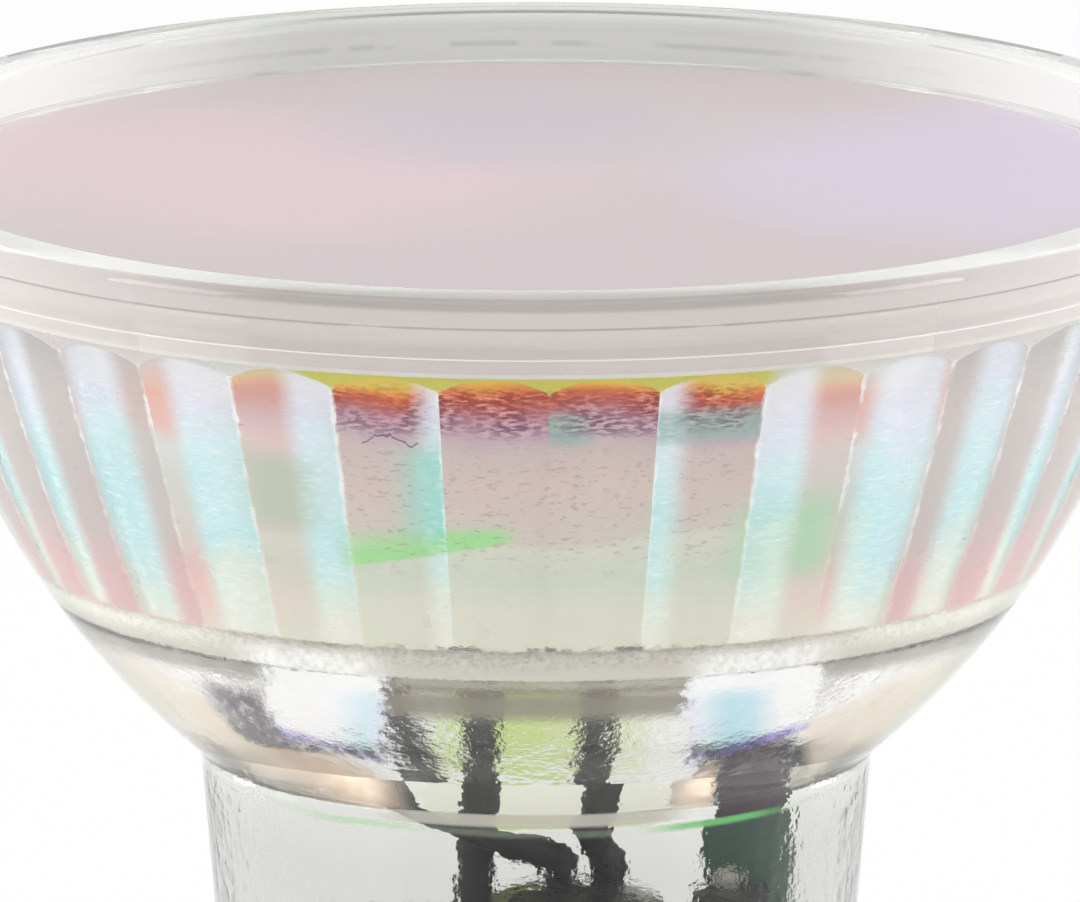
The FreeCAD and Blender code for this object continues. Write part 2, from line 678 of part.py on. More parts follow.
def capacitor_can():
    radius = CAPACITOR_RADIUS - CAPACITOR_SLEEVE
    waist = radius - CAPACITOR_GROOVE_DEPTH
    groove_middle = CAPACITOR_GROOVE_RISE + CAPACITOR_GROOVE_DEPTH
    groove_end = groove_middle + CAPACITOR_GROOVE_DEPTH
    top = CAPACITOR_LENGTH - CAPACITOR_SLEEVE
    points = [
        capacitor_point(0, CAPACITOR_BUNG_LENGTH),
        capacitor_point(waist, CAPACITOR_BUNG_LENGTH),
        capacitor_point(waist, groove_middle),
        capacitor_point(radius, groove_end),
        capacitor_point(radius, top),
        capacitor_point(0, top),
        capacitor_point(0, CAPACITOR_BUNG_LENGTH),
    ]
    can = stand_at_capacitor(turned(straights(points)))
    vent_low = CAPACITOR_LOW_Z + top - CAPACITOR_VENT_DEPTH
    half = CAPACITOR_VENT_WIDTH / 2
    reach = CAPACITOR_VENT_LENGTH / 2
    for spans in (((-reach, reach), (-half, half)), ((-half, half), (-reach, reach))):
        slot = box(spans[0], spans[1], (vent_low, CAPACITOR_TOP_Z))
        can = can.cut(stand_at_capacitor(slot))
    return can


def capacitor_sleeve():
    outer = Part.makeCylinder(CAPACITOR_RADIUS, CAPACITOR_LENGTH, at(0, 0, CAPACITOR_LOW_Z))
    bore_height = CAPACITOR_LENGTH - CAPACITOR_SLEEVE
    bore = Part.makeCylinder(
        CAPACITOR_RADIUS - CAPACITOR_SLEEVE, bore_height, at(0, 0, CAPACITOR_LOW_Z)
    )
    window = Part.makeCylinder(
        CAPACITOR_RADIUS - CAPACITOR_SLEEVE_LIP, CAPACITOR_LENGTH, at(0, 0, CAPACITOR_LOW_Z)
    )
    return stand_at_capacitor(outer.cut(bore).cut(window))


def capacitor_bung():
    radius = CAPACITOR_RADIUS - CAPACITOR_SLEEVE - CAPACITOR_GROOVE_DEPTH
    bung = Part.makeCylinder(radius, CAPACITOR_BUNG_LENGTH, at(0, 0, CAPACITOR_LOW_Z))
    return stand_at_capacitor(bung)


def board_leg(foot, drop, face_y):
    """A bare leg that leaves a part downwards and turns into the face of the driver board."""
    corner = foot - UP * drop
    return round_wire([foot, corner, at(foot.x, face_y, corner.z)], LEG_RADIUS)


capacitor_legs = []
for side in (-1, 1):
    leg_x = CAPACITOR_X + side * CAPACITOR_LEG_SPREAD / 2
    leg_foot = at(leg_x, CAPACITOR_Y, CAPACITOR_LOW_Z)
    capacitor_legs.append(board_leg(leg_foot, LEG_BEND, DRIVER_FRONT_Y))
pieces["bulk_capacitor_can"] = capacitor_can()
pieces["bulk_capacitor_sleeve"] = capacitor_sleeve()
pieces["bulk_capacitor_bung"] = capacitor_bung()
pieces["bulk_capacitor_legs"] = Part.makeCompound(capacitor_legs)


# The choke: copper wound on a ferrite bobbin


def choke_point(radius, height):
    return section_point(radius, CHOKE_LOW_Z + height)


def choke_core():
    points = [
        choke_point(0, 0),
        choke_point(CHOKE_RADIUS, 0),
        choke_point(CHOKE_RADIUS, CHOKE_FLANGE),
        choke_point(CHOKE_CORE_RADIUS, CHOKE_FLANGE),
        choke_point(CHOKE_CORE_RADIUS, CHOKE_HEIGHT - CHOKE_FLANGE),
        choke_point(CHOKE_RADIUS, CHOKE_HEIGHT - CHOKE_FLANGE),
        choke_point(CHOKE_RADIUS, CHOKE_HEIGHT),
        choke_point(0, CHOKE_HEIGHT),
        choke_point(0, 0),
    ]
    core = turned(straights(points))
    core.translate(at(CHOKE_X, CHOKE_Y, 0))
    return core


pieces["choke_core"] = choke_core()
pieces["choke_winding"] = ring(
    CHOKE_RADIUS - CHOKE_WINDING_GAP,
    CHOKE_CORE_RADIUS,
    CHOKE_LOW_Z + CHOKE_FLANGE,
    CHOKE_HEIGHT - 2 * CHOKE_FLANGE,
    CHOKE_X,
    CHOKE_Y,
)
choke_legs = []
for side in (-1, 1):
    leg_foot = at(CHOKE_X + side * CHOKE_LEG_SPREAD / 2, CHOKE_Y, CHOKE_LOW_Z)
    choke_legs.append(board_leg(leg_foot, LEG_BEND, DRIVER_BACK_Y))
pieces["choke_legs"] = Part.makeCompound(choke_legs)


# Moulded and ceramic parts on the faces of the driver board


def plain_part(size, place, face_y=DRIVER_FRONT_Y):
    """A block on a face of the board: width, depth and height, centred at x and z."""
    width, depth, height = size
    x, z = place
    far_y = face_y + math.copysign(depth, face_y)
    return box(
        (x - width / 2, x + width / 2),
        (min(face_y, far_y), max(face_y, far_y)),
        (z - height / 2, z + height / 2),
    )


def moulded_part(size, place):
    """A block on the board's front face with rounded front edges."""
    block = plain_part(size, place)
    front_y = DRIVER_FRONT_Y - size[1]
    front = [e for e in block.Edges if abs(e.CenterOfMass.y - front_y) < 1e-6]
    return block.makeFillet(MOULDING_ROUND, front)


def side_feet(size, place, count, pitch):
    """Flat feet at both sides of a moulded part, flat on the board's front face."""
    width, _, _ = size
    x, z = place
    feet = []
    for side in (-1, 1):
        near = x + side * width / 2
        far = near + side * FOOT_LENGTH
        for number in range(count):
            foot_z = z + pitch * (number - (count - 1) / 2)
            feet.append(
                box(
                    (min(near, far), max(near, far)),
                    (DRIVER_FRONT_Y - FOOT_THICKNESS, DRIVER_FRONT_Y),
                    (foot_z - FOOT_WIDTH / 2, foot_z + FOOT_WIDTH / 2),
                )
            )
    return feet


def end_feet(size, place):
    """One wide foot at each end of a diode."""
    _, _, height = size
    x, z = place
    feet = []
    for side in (-1, 1):
        near = z + side * height / 2
        far = near + side * FOOT_LENGTH
        feet.append(
            box(
                (x - FOOT_WIDTH, x + FOOT_WIDTH),
                (DRIVER_FRONT_Y - FOOT_THICKNESS, DRIVER_FRONT_Y),
                (min(near, far), max(near, far)),
            )
        )
    return feet


rectifier_place = (LEFT_COLUMN_X, RECTIFIER_Z)
rectifier_feet = side_feet(RECTIFIER_SIZE, rectifier_place, 2, RECTIFIER_FOOT_PITCH)
pieces["bridge_rectifier"] = moulded_part(RECTIFIER_SIZE, rectifier_place)
pieces["bridge_rectifier_feet"] = Part.makeCompound(rectifier_feet)

chip_place = (LEFT_COLUMN_X, CHIP_Z)
chip_feet = side_feet(CHIP_SIZE, chip_place, 4, CHIP_FOOT_PITCH)
pieces["driver_chip"] = moulded_part(CHIP_SIZE, chip_place)
pieces["driver_chip_feet"] = Part.makeCompound(chip_feet)

diode_place = (DIODE_X, DIODE_Z)
pieces["rectifier_diode"] = moulded_part(DIODE_SIZE, diode_place)
pieces["rectifier_diode_feet"] = Part.makeCompound(end_feet(DIODE_SIZE, diode_place))

resistors = []
for number in range(RESISTOR_COUNT):
    resistor_z = POTTING_TOP_Z + RESISTOR_RISE + RESISTOR_PITCH * number
    resistors.append(plain_part(RESISTOR_SIZE, (LEAD_3_X, resistor_z), DRIVER_BACK_Y))
pieces["chip_resistors"] = Part.makeCompound(resistors)

ceramics = []
for inset, rise in CERAMIC_INSETS_AND_RISES:
    ceramic_place = (DRIVER_HALF_WIDTH - inset, POTTING_TOP_Z + rise)
    ceramics.append(plain_part(CERAMIC_SIZE, ceramic_place, DRIVER_BACK_Y))
pieces["chip_capacitors"] = Part.makeCompound(ceramics)


# The film capacitor behind the tab


def film_capacitor():
    width, depth, height = FILM_SIZE
    block = box(
        (TAB_MIDDLE_X - width / 2, TAB_MIDDLE_X + width / 2),
        (FILM_FRONT_Y, FILM_FRONT_Y + depth),
        (FILM_LOW_Z, FILM_LOW_Z + height),
    )
    along_y = [edge for edge in block.Edges if abs(edge.tangentAt(0).y) > 0.9]
    return block.makeFillet(FILM_ROUND, along_y)


film_legs = []
for side in (-1, 1):
    leg_x = TAB_MIDDLE_X + side * FILM_LEG_SPREAD / 2
    leg_foot = at(leg_x, FILM_FRONT_Y + FILM_SIZE[1] / 2, FILM_LOW_Z)
    film_legs.append(board_leg(leg_foot, LEG_BEND, DRIVER_BACK_Y))
pieces["film_capacitor"] = film_capacitor()
pieces["film_capacitor_legs"] = Part.makeCompound(film_legs)


# The contact pins, riveted through the floor of the glass over washers


def contact_pin(x):
    points = [
        section_point(0, -PIN_LENGTH),
        section_point(PIN_HEAD_RADIUS, -PIN_LENGTH),
        section_point(PIN_HEAD_RADIUS, PIN_HEAD_LENGTH - PIN_LENGTH),
        section_point(PIN_NECK_RADIUS, PIN_HEAD_LENGTH - PIN_LENGTH),
        section_point(PIN_NECK_RADIUS, 0),
        section_point(PIN_SHANK_RADIUS, 0),
        section_point(PIN_SHANK_RADIUS, FLOOR_THICKNESS + WASHER_THICKNESS),
        section_point(PIN_FLARE_RADIUS, FLOOR_THICKNESS + WASHER_THICKNESS),
        section_point(PIN_FLARE_RADIUS, PIN_TOP_Z),
        section_point(0, PIN_TOP_Z),
        section_point(0, -PIN_LENGTH),
    ]
    pin = turned(straights(points))
    head_edges = circles_at(pin, PIN_HEAD_RADIUS, -PIN_LENGTH)
    head_edges += circles_at(pin, PIN_HEAD_RADIUS, PIN_HEAD_LENGTH - PIN_LENGTH)
    pin = pin.makeFillet(PIN_HEAD_ROUND, head_edges)
    pin.translate(at(x, 0, 0))
    return pin


for side_name, side in (("left", -1), ("right", 1)):
    pin_x = side * PIN_SPACING / 2
    pieces[f"pin_{side_name}"] = contact_pin(pin_x)
    pieces[f"pin_washer_{side_name}"] = ring(
        WASHER_RADIUS,
        PIN_SHANK_RADIUS + PIN_HOLE_CLEARANCE,
        FLOOR_THICKNESS,
        WASHER_THICKNESS,
        pin_x,
    )


# The pins' tails, the fuse resistor and the potting in the base


def fuse_resistor():
    cap_rise = FUSE_LENGTH - FUSE_CAP_LENGTH
    points = [
        section_point(0, 0),
        section_point(FUSE_RADIUS, 0),
        section_point(FUSE_RADIUS, FUSE_CAP_LENGTH),
        section_point(FUSE_WAIST_RADIUS, FUSE_CAP_LENGTH + FUSE_RADIUS - FUSE_WAIST_RADIUS),
        section_point(FUSE_WAIST_RADIUS, cap_rise - FUSE_RADIUS + FUSE_WAIST_RADIUS),
        section_point(FUSE_RADIUS, cap_rise),
        section_point(FUSE_RADIUS, FUSE_LENGTH),
        section_point(0, FUSE_LENGTH),
        section_point(0, 0),
    ]
    body = turned(straights(points))
    body.translate(at(FUSE_X, FUSE_Y, FUSE_LOW_Z))
    return body


def left_tail():
    pin_x = -PIN_SPACING / 2
    bend_z = PIN_TOP_Z + TAIL_RISE
    return round_wire(
        [
            at(pin_x, 0, PIN_TOP_Z),
            at(pin_x, 0, bend_z),
            at(pin_x, TAIL_Y, bend_z - TAIL_Y),
            at(pin_x, TAIL_Y, TAIL_TOP_Z),
        ],
        TAIL_RADIUS,
    )


def right_tail():
    pin_x = PIN_SPACING / 2
    return round_wire(
        [
            at(pin_x, 0, PIN_TOP_Z),
            at(pin_x, 0, PIN_TOP_Z + TAIL_RISE),
            at(pin_x, 0.75 * FUSE_Y, PIN_TOP_Z + 3 * TAIL_RISE),
            at(FUSE_X, FUSE_Y, FUSE_LOW_Z - 2 * TAIL_RISE),
            at(FUSE_X, FUSE_Y, FUSE_LOW_Z),
        ],
        TAIL_RADIUS,
        TAIL_BEND_SHARE,
    )


def fuse_top_lead():
    return round_wire(
        [
            at(FUSE_X, FUSE_Y, FUSE_TOP_Z),
            at(FUSE_X, FUSE_Y, FUSE_LEAD_Z),
            at(FUSE_X, DRIVER_FRONT_Y, FUSE_LEAD_Z),
        ],
        LEG_RADIUS,
    )


def base_potting():
    """The set compound in the base, moulded round everything that stands in it."""
    height = POTTING_TOP_Z - FLOOR_THICKNESS
    fill = Part.makeCylinder(BASE_BORE_RADIUS, height, at(0, 0, FLOOR_THICKNESS))
    standing = [
        "driver_board",
        "pin_left",
        "pin_right",
        "pin_washer_left",
        "pin_washer_right",
        "mains_lead_left",
        "mains_lead_right",
        "mains_solder",
    ]
    for name in standing:
        fill = fill.cut(pieces[name])
    for side in (-1, 1):
        foot = at(side * PIN_SPACING / 2, 0, FLOOR_THICKNESS)
        hole = rod(PIN_SHANK_RADIUS + PIN_HOLE_CLEARANCE, foot, foot + UP * WASHER_THICKNESS)
        fill = fill.cut(hole)
    return fill


pieces["fuse_resistor"] = fuse_resistor()
pieces["mains_lead_left"] = left_tail()
pieces["mains_lead_right"] = right_tail()
pieces["fuse_resistor_lead"] = fuse_top_lead()
pieces["mains_solder"] = pad_solder(
    at(-PIN_SPACING / 2, TAIL_Y, TAIL_TOP_Z + PAD_SOLDER_LENGTH), DRIVER_FRONT_Y
)
pieces["base_potting"] = base_potting()


os.makedirs("parts", exist_ok=True)
for name, shape in pieces.items():
    shape.exportStep(f"parts/{name}.step")
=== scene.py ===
import bpy
import math
from mathutils import Matrix, Vector, noise


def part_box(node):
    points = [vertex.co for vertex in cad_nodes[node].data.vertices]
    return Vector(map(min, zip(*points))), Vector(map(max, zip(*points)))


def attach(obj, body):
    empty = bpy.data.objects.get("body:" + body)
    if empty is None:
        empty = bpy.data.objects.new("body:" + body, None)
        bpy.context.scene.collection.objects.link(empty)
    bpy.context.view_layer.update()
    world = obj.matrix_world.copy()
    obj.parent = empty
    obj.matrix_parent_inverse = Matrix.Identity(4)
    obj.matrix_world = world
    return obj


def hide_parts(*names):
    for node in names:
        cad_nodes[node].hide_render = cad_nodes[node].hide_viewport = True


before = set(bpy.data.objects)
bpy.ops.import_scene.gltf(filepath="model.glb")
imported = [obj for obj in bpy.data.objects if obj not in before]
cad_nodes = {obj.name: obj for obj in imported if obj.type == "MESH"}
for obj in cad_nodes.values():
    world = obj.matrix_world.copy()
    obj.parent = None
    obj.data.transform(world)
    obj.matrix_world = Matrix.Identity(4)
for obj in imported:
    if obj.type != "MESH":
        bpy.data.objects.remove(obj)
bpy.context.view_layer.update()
MM = 0.001


# Pressed glass body
# One pressed piece of clear glass with its base, neck, shoulder, fluted bowl and collar.
# The mould leaves the shoulder hammered and the neck finely ribbed. The bowl is coated
# inside with a thin pearly film, and the chamber under it catches a little of the same film.
# Some of the film's colours and of the glass's tint are painted highlight, painted reflection and
# painted shade.

BASE_RADIUS = 9.4
BASE_HEIGHT = 8.2
CAP_CHAMFER = 1.3
CAP_ROUND = 0.25
CAP_RING_WIDTH = 2.0
BASE_ROUND = 0.7
NECK_LOW = (10.74, 9.8)
NECK_TOP = (12.04, 25.3)
NECK_ROUND = 1.5
NECK_STEPS = 14
BOWL_JOIN = (19.14, 33.9)
BOWL_TOP = (24.0, 44.83)
BOWL_ARC_RADIUS = 29.7
LOWER_BOWL_STEPS = 56
UPPER_BOWL_STEPS = 26
RIM_RADIUS = 25.0
RIM_TOP = 47.0
RIM_ROUND = 0.35
BOWL_TOP_ROUND = 0.45
COLLAR_ROUND = 0.3
PARTING_LEVEL = 46.0
PARTING_STEP = 0.08
PARTING_HALF_HEIGHT = 0.06
POCKET_RADIUS = 22.8
POCKET_ROUND = 0.4
POCKET_EDGE_DROP = 0.5
POCKET_EDGE_WIDTH = 0.2
LEDGE_LEVEL = 43.9
BOARD_TOP = 33.0
SHELF_LEVEL = 31.8
SEAT_RADIUS = 15.88
SHELF_EDGE = (14.38, 31.8)
CHAMBER_FOOT = (10.316, 27.4)
CHAMBER_ARC_RADIUS = 26.8
CHAMBER_STEPS = 14
NECK_BORE_LOW = (8.84, 9.8)
NECK_BORE_STEPS = 12
BASE_BORE = 7.8
FLOOR_LEVEL = 2.4
FLUTES = 32
FLUTE_PHASE = math.radians(1.35)
FLUTE_PITCH = 2 * math.pi / FLUTES
FLUTE_DEPTH = 0.36
FLUTE_LOW_RADIUS = 16.0
FLUTE_TOP_RADIUS = 18.8
FLUTE_BOW = 0.05
ARCH_FOOT = 43.0
ARCH_RISE = 1.1
ARCH_LEVEL_STEP = 0.06
ARCH_LEVELS = 15
FLUTE_LEVEL_STEP = 0.5
FLUTE_LEVELS = 20
LEAST_STEP = 0.1
STEPS_PER_FLUTE = 16
HAMMERED_FROM = 27.0
HAMMERED_TO = 34.6
HAMMER_FADE = 0.8
HAMMER_DEPTH = 0.008
HAMMER_SCALE = 1.5
SHARP_EDGE_DEGREES = 32


def arc_between(start, end, radius, count):
    """Points of the outward-bowed arc of this radius, without its start."""
    chord_r = end[0] - start[0]
    chord_z = end[1] - start[1]
    chord = math.hypot(chord_r, chord_z)
    rise = math.sqrt(radius**2 - chord**2 / 4)
    centre_r = (start[0] + end[0]) / 2 - chord_z / chord * rise
    centre_z = (start[1] + end[1]) / 2 + chord_r / chord * rise
    first = math.atan2(start[1] - centre_z, start[0] - centre_r)
    last = math.atan2(end[1] - centre_z, end[0] - centre_r)
    points = []
    for number in range(1, count + 1):
        turn = first + (last - first) * number / count
        points.append((centre_r + radius * math.cos(turn), centre_z + radius * math.sin(turn)))
    return points


def arc_on_tangent(start, heading, end, count):
    """Points of the arc that leaves start along this heading and reaches end."""
    chord = Vector(end) - Vector(start)
    turn = heading.angle(chord)
    radius = chord.length / 2 / math.sin(turn)
    return arc_between(start, end, radius, count)


def rounded(before, corner, after, radius, count=5):
    """Points of a round of this radius at a corner of a section."""
    middle = Vector(corner)
    to_before = (Vector(before) - middle).normalized()
    to_after = (Vector(after) - middle).normalized()
    half = to_before.angle(to_after) / 2
    centre = middle + (to_before + to_after).normalized() * (radius / math.sin(half))
    start = middle + to_before * (radius / math.tan(half)) - centre
    turn = math.pi - 2 * half
    if to_before.cross(to_after) > 0:
        turn = -turn
    points = []
    for number in range(count + 1):
        spoke = Matrix.Rotation(turn * number / count, 2) @ start
        points.append(tuple(centre + spoke))
    return points


def spaced(start, end, count):
    """Points of a straight run, without its ends."""
    points = []
    for number in range(1, count):
        share = number / count
        points.append((start[0] + (end[0] - start[0]) * share, start[1] + (end[1] - start[1]) * share))
    return points


def outer_section():
    """The outside from the middle of the cap's end face up to the inner edge of the rim."""
    lower_bowl = arc_between(NECK_TOP, BOWL_JOIN, BOWL_ARC_RADIUS, LOWER_BOWL_STEPS)
    heading = Vector(lower_bowl[-1]) - Vector(lower_bowl[-2])
    upper_bowl = arc_on_tangent(BOWL_JOIN, heading, BOWL_TOP, UPPER_BOWL_STEPS)
    neck_round = rounded(NECK_LOW, NECK_TOP, lower_bowl[7], NECK_ROUND, 8)
    rim_edge = (RIM_RADIUS - PARTING_STEP, RIM_TOP)
    pocket_edge = (POCKET_RADIUS, RIM_TOP)
    collar_foot = (RIM_RADIUS, BOWL_TOP[1])
    base_top = (BASE_RADIUS, BASE_HEIGHT)
    cap_edge = (BASE_RADIUS - CAP_CHAMFER, 0)
    chamfer_top = (BASE_RADIUS, CAP_CHAMFER)
    section = [(0.0, 0.0), (cap_edge[0] - CAP_RING_WIDTH, 0.0)]
    section += rounded((0, 0), cap_edge, chamfer_top, CAP_ROUND, 3)
    section += rounded(cap_edge, chamfer_top, base_top, CAP_ROUND, 3)
    section += spaced(chamfer_top, base_top, 4)
    section += rounded((BASE_RADIUS, 0), base_top, NECK_LOW, BASE_ROUND)
    section += rounded(base_top, NECK_LOW, NECK_TOP, BASE_ROUND)
    section += spaced(NECK_LOW, NECK_TOP, NECK_STEPS)[1:]
    section += neck_round
    section += [point for point in lower_bowl if point[1] > neck_round[-1][1] + 0.05]
    section += upper_bowl[:-1]
    section += rounded(upper_bowl[-2], BOWL_TOP, collar_foot, BOWL_TOP_ROUND)
    section += rounded(BOWL_TOP, collar_foot, (RIM_RADIUS, PARTING_LEVEL), COLLAR_ROUND)
    section += [
        (RIM_RADIUS, PARTING_LEVEL - PARTING_HALF_HEIGHT),
        (RIM_RADIUS - PARTING_STEP / 2, PARTING_LEVEL),
        (rim_edge[0], PARTING_LEVEL + PARTING_HALF_HEIGHT),
    ]
    section += rounded((rim_edge[0], PARTING_LEVEL), rim_edge, pocket_edge, RIM_ROUND, 7)
    section += rounded(rim_edge, pocket_edge, (POCKET_RADIUS, LEDGE_LEVEL), POCKET_ROUND, 6)
    return section


def flute_edge_radius(level):
    """Radius of the sharp edges where two flutes meet, which bow outwards a little."""
    share = (level - BOARD_TOP) / (LEDGE_LEVEL - BOARD_TOP)
    slope = FLUTE_LOW_RADIUS + (FLUTE_TOP_RADIUS - FLUTE_LOW_RADIUS) * share
    return slope + 4 * FLUTE_BOW * share * (1 - share)


def fluted_radius(level, share_of_flute):
    """Radius of the coated face: flutes below, cut off by a cone that leaves their arched tops."""
    flute = flute_edge_radius(level) + 4 * FLUTE_DEPTH * share_of_flute * (1 - share_of_flute)
    cone = flute_edge_radius(ARCH_FOOT) + (level - ARCH_FOOT) / ARCH_RISE
    return max(flute, cone)


def fluted_levels():
    """Levels down the flutes, close together where their tops are arched."""
    levels = [LEDGE_LEVEL - ARCH_LEVEL_STEP * number for number in range(ARCH_LEVELS)]
    levels += [levels[-1] - FLUTE_LEVEL_STEP * number for number in range(1, FLUTE_LEVELS)]
    return [level for level in levels if level > BOARD_TOP + LEAST_STEP] + [BOARD_TOP]


def inner_section():
    """The inside from the seat of the light board down to the middle of the floor."""
    chamber = arc_between(CHAMBER_FOOT, SHELF_EDGE, CHAMBER_ARC_RADIUS, CHAMBER_STEPS)
    section = [(SEAT_RADIUS, BOARD_TOP), (SEAT_RADIUS, SHELF_LEVEL), SHELF_EDGE]
    section += chamber[-2::-1] + [CHAMBER_FOOT]
    section += spaced(CHAMBER_FOOT, NECK_BORE_LOW, NECK_BORE_STEPS)
    section += [NECK_BORE_LOW, (BASE_BORE, BASE_HEIGHT), (BASE_BORE, FLOOR_LEVEL), (0.0, FLOOR_LEVEL)]
    return section


def hammered(radius, level, turn):
    """A radius on the outside with the dents that the mould leaves on the shoulder."""
    if not HAMMERED_FROM < level < HAMMERED_TO:
        return radius
    from_border = min(level - HAMMERED_FROM, HAMMERED_TO - level)
    fade = min(1.0, from_border / HAMMER_FADE)
    place = Vector((radius * math.cos(turn), radius * math.sin(turn), level)) * HAMMER_SCALE
    return radius + HAMMER_DEPTH * fade * noise.noise(place)


def joined_rows(rows, kinds, steps):
    """Faces from each row of points to the next, in a fan where a row is a single point."""
    faces = []
    face_kinds = []
    for low, high, kind in zip(rows, rows[1:], kinds):
        for number in range(steps):
            after = (number + 1) % steps
            if len(low) == 1:
                faces.append((low[0], high[after], high[number]))
            elif len(high) == 1:
                faces.append((low[number], low[after], high[0]))
            else:
                faces.append((low[number], low[after], high[after], high[number]))
            face_kinds.append(kind)
    return faces, face_kinds


def glass_body():
    """The glass as rows of points round the axis, from the cap up, inwards and down again."""
    steps = FLUTES * STEPS_PER_FLUTE
    turns = [FLUTE_PHASE + 2 * math.pi * number / steps for number in range(steps)]
    points = []
    rows = []
    kinds = []

    def add_row(radii, level, kind):
        if radii[0] == 0:
            points.append((0.0, 0.0, level * MM))
            rows.append([len(points) - 1])
        else:
            rows.append(list(range(len(points), len(points) + steps)))
            for radius, turn in zip(radii, turns):
                x = radius * math.sin(turn)
                y = -radius * math.cos(turn)
                points.append((x * MM, y * MM, level * MM))
        kinds.append(kind)

    for radius, level in outer_section():
        in_pocket = level >= RIM_TOP - POCKET_EDGE_DROP and radius <= POCKET_RADIUS + POCKET_EDGE_WIDTH
        radii = [hammered(radius, level, turn) if radius else 0 for turn in turns]
        add_row(radii, level, POCKET if in_pocket else CLEAR)
    add_row([POCKET_RADIUS] * steps, LEDGE_LEVEL, COATED)
    shares = [(number % STEPS_PER_FLUTE) / STEPS_PER_FLUTE for number in range(steps)]
    for level in fluted_levels():
        add_row([fluted_radius(level, share) for share in shares], level, COATED)
    for radius, level in inner_section():
        add_row([radius] * steps, level, COATED if level > SHELF_LEVEL else CHAMBER)

    faces, face_kinds = joined_rows(rows, kinds, steps)
    mesh = bpy.data.meshes.new("glass_body")
    mesh.from_pydata(points, [], faces)
    mesh.polygons.foreach_set("material_index", face_kinds)
    mesh.polygons.foreach_set("use_smooth", [True] * len(faces))
    mesh.set_sharp_from_angle(angle=math.radians(SHARP_EDGE_DEGREES))
    mesh.update()
    body = bpy.data.objects.new("glass_body", mesh)
    bpy.context.scene.collection.objects.link(body)
    return body


def seen(red, green, blue):
    """A colour as it is read off a screen, turned into a linear one."""
    linear = []
    for part in (red, green, blue):
        share = part / 255
        linear.append(share / 12.92 if share < 0.04045 else ((share + 0.055) / 1.055) ** 2.4)
    return tuple(linear)


class NodeTree:
    """A tree of shader nodes that is built up by short calls."""

    def __init__(self, tree):
        self.tree = tree

    def feed(self, value, socket):
        if isinstance(value, bpy.types.NodeSocket):
            self.tree.links.new(value, socket)
        elif socket.type == "RGBA":
            socket.default_value = (*value, 1)
        else:
            socket.default_value = value

    def add(self, kind, inputs, output=0, **settings):
        node = self.tree.nodes.new(kind)
        for name, value in settings.items():
            setattr(node, name, value)
        for key, value in inputs.items():
            self.feed(value, node.inputs[key])
        return node.outputs[output]

    def maths(self, operation, first, second=0.0):
        return self.add("ShaderNodeMath", {0: first, 1: second}, operation=operation)

    def product(self, *values):
        result = values[0]
        for value in values[1:]:
            result = self.maths("MULTIPLY", result, value)
        return result

    def rest(self, value):
        """What is left of 1 beside a value."""
        return self.maths("SUBTRACT", 1.0, value)

    def apart(self, first, second):
        """How far two values lie apart."""
        return self.maths("ABSOLUTE", self.maths("SUBTRACT", first, second))

    def distance(self, first, second):
        """The length of a slanting line that goes this far across and this far along."""
        squares = self.maths("ADD", self.product(first, first), self.product(second, second))
        return self.maths("SQRT", squares)

    def rise(self, value, low, high):
        """0 up to low, 1 from high, smooth between; it falls where low is the larger."""
        inputs = {"Value": value, "From Min": low, "From Max": high}
        return self.add("ShaderNodeMapRange", inputs, interpolation_type="SMOOTHSTEP")

    def slope(self, value, low, high, start, end):
        """Straight from start, where the value is low, to end, where it is high."""
        inputs = {"Value": value, "From Min": low, "From Max": high, "To Min": start, "To Max": end}
        return self.add("ShaderNodeMapRange", inputs)

    def between(self, value, low, high, soft):
        """1 between low and high and 0 outside, with soft borders."""
        return self.product(
            self.rise(value, low - soft, low + soft), self.rise(value, high + soft, high - soft)
        )

    def mix(self, share, first, second):
        inputs = {"Factor": share, 6: first, 7: second}
        return self.add("ShaderNodeMix", inputs, 2, data_type="RGBA")

    def ramp(self, value, stops):
        node = self.tree.nodes.new("ShaderNodeValToRGB")
        self.feed(value, node.inputs[0])
        band = node.color_ramp
        while len(band.elements) < len(stops):
            band.elements.new(0.5)
        for element, (place, colour) in zip(band.elements, stops):
            element.position = place
            element.color = (*colour, 1)
        return node.outputs[0]


class Finish(NodeTree):
    """A finish for a surface, which knows its place on the lamp in millimetres."""

    def __init__(self, name):
        self.material = bpy.data.materials.new(name)
        self.material.use_nodes = True
        super().__init__(self.material.node_tree)
        self.shader = self.tree.nodes["Principled BSDF"]
        self.surface = self.tree.nodes["Material Output"].inputs["Surface"]
        coordinates = self.add("ShaderNodeTexCoord", {}, "Object")
        self.place = self.add(
            "ShaderNodeVectorMath", {"Vector": coordinates, "Scale": 1 / MM}, operation="SCALE"
        )
        parts = self.tree.nodes.new("ShaderNodeSeparateXYZ")
        self.feed(self.place, parts.inputs[0])
        self.x, self.y, self.z = parts.outputs

    def grain(self, scale, detail=2.0, stretch=None):
        """Soft noise with this many cells in a millimetre, finer along a stretched axis."""
        vector = self.place
        if stretch:
            inputs = {0: self.place, 1: stretch}
            vector = self.add("ShaderNodeVectorMath", inputs, operation="MULTIPLY")
        inputs = {"Vector": vector, "Scale": scale, "Detail": detail}
        return self.add("ShaderNodeTexNoise", inputs)

    def bump(self, height, depth, below=None):
        """Relief of this depth in millimetres, over another relief where one is given."""
        inputs = {"Height": height, "Distance": depth * MM}
        if below:
            inputs["Normal"] = below
        return self.add("ShaderNodeBump", inputs)

    def set(self, **inputs):
        """Sets inputs of the main shader, which are named here with underscores."""
        for name, value in inputs.items():
            self.feed(value, self.shader.inputs[name.replace("_", " ").title().replace("Ior", "IOR")])


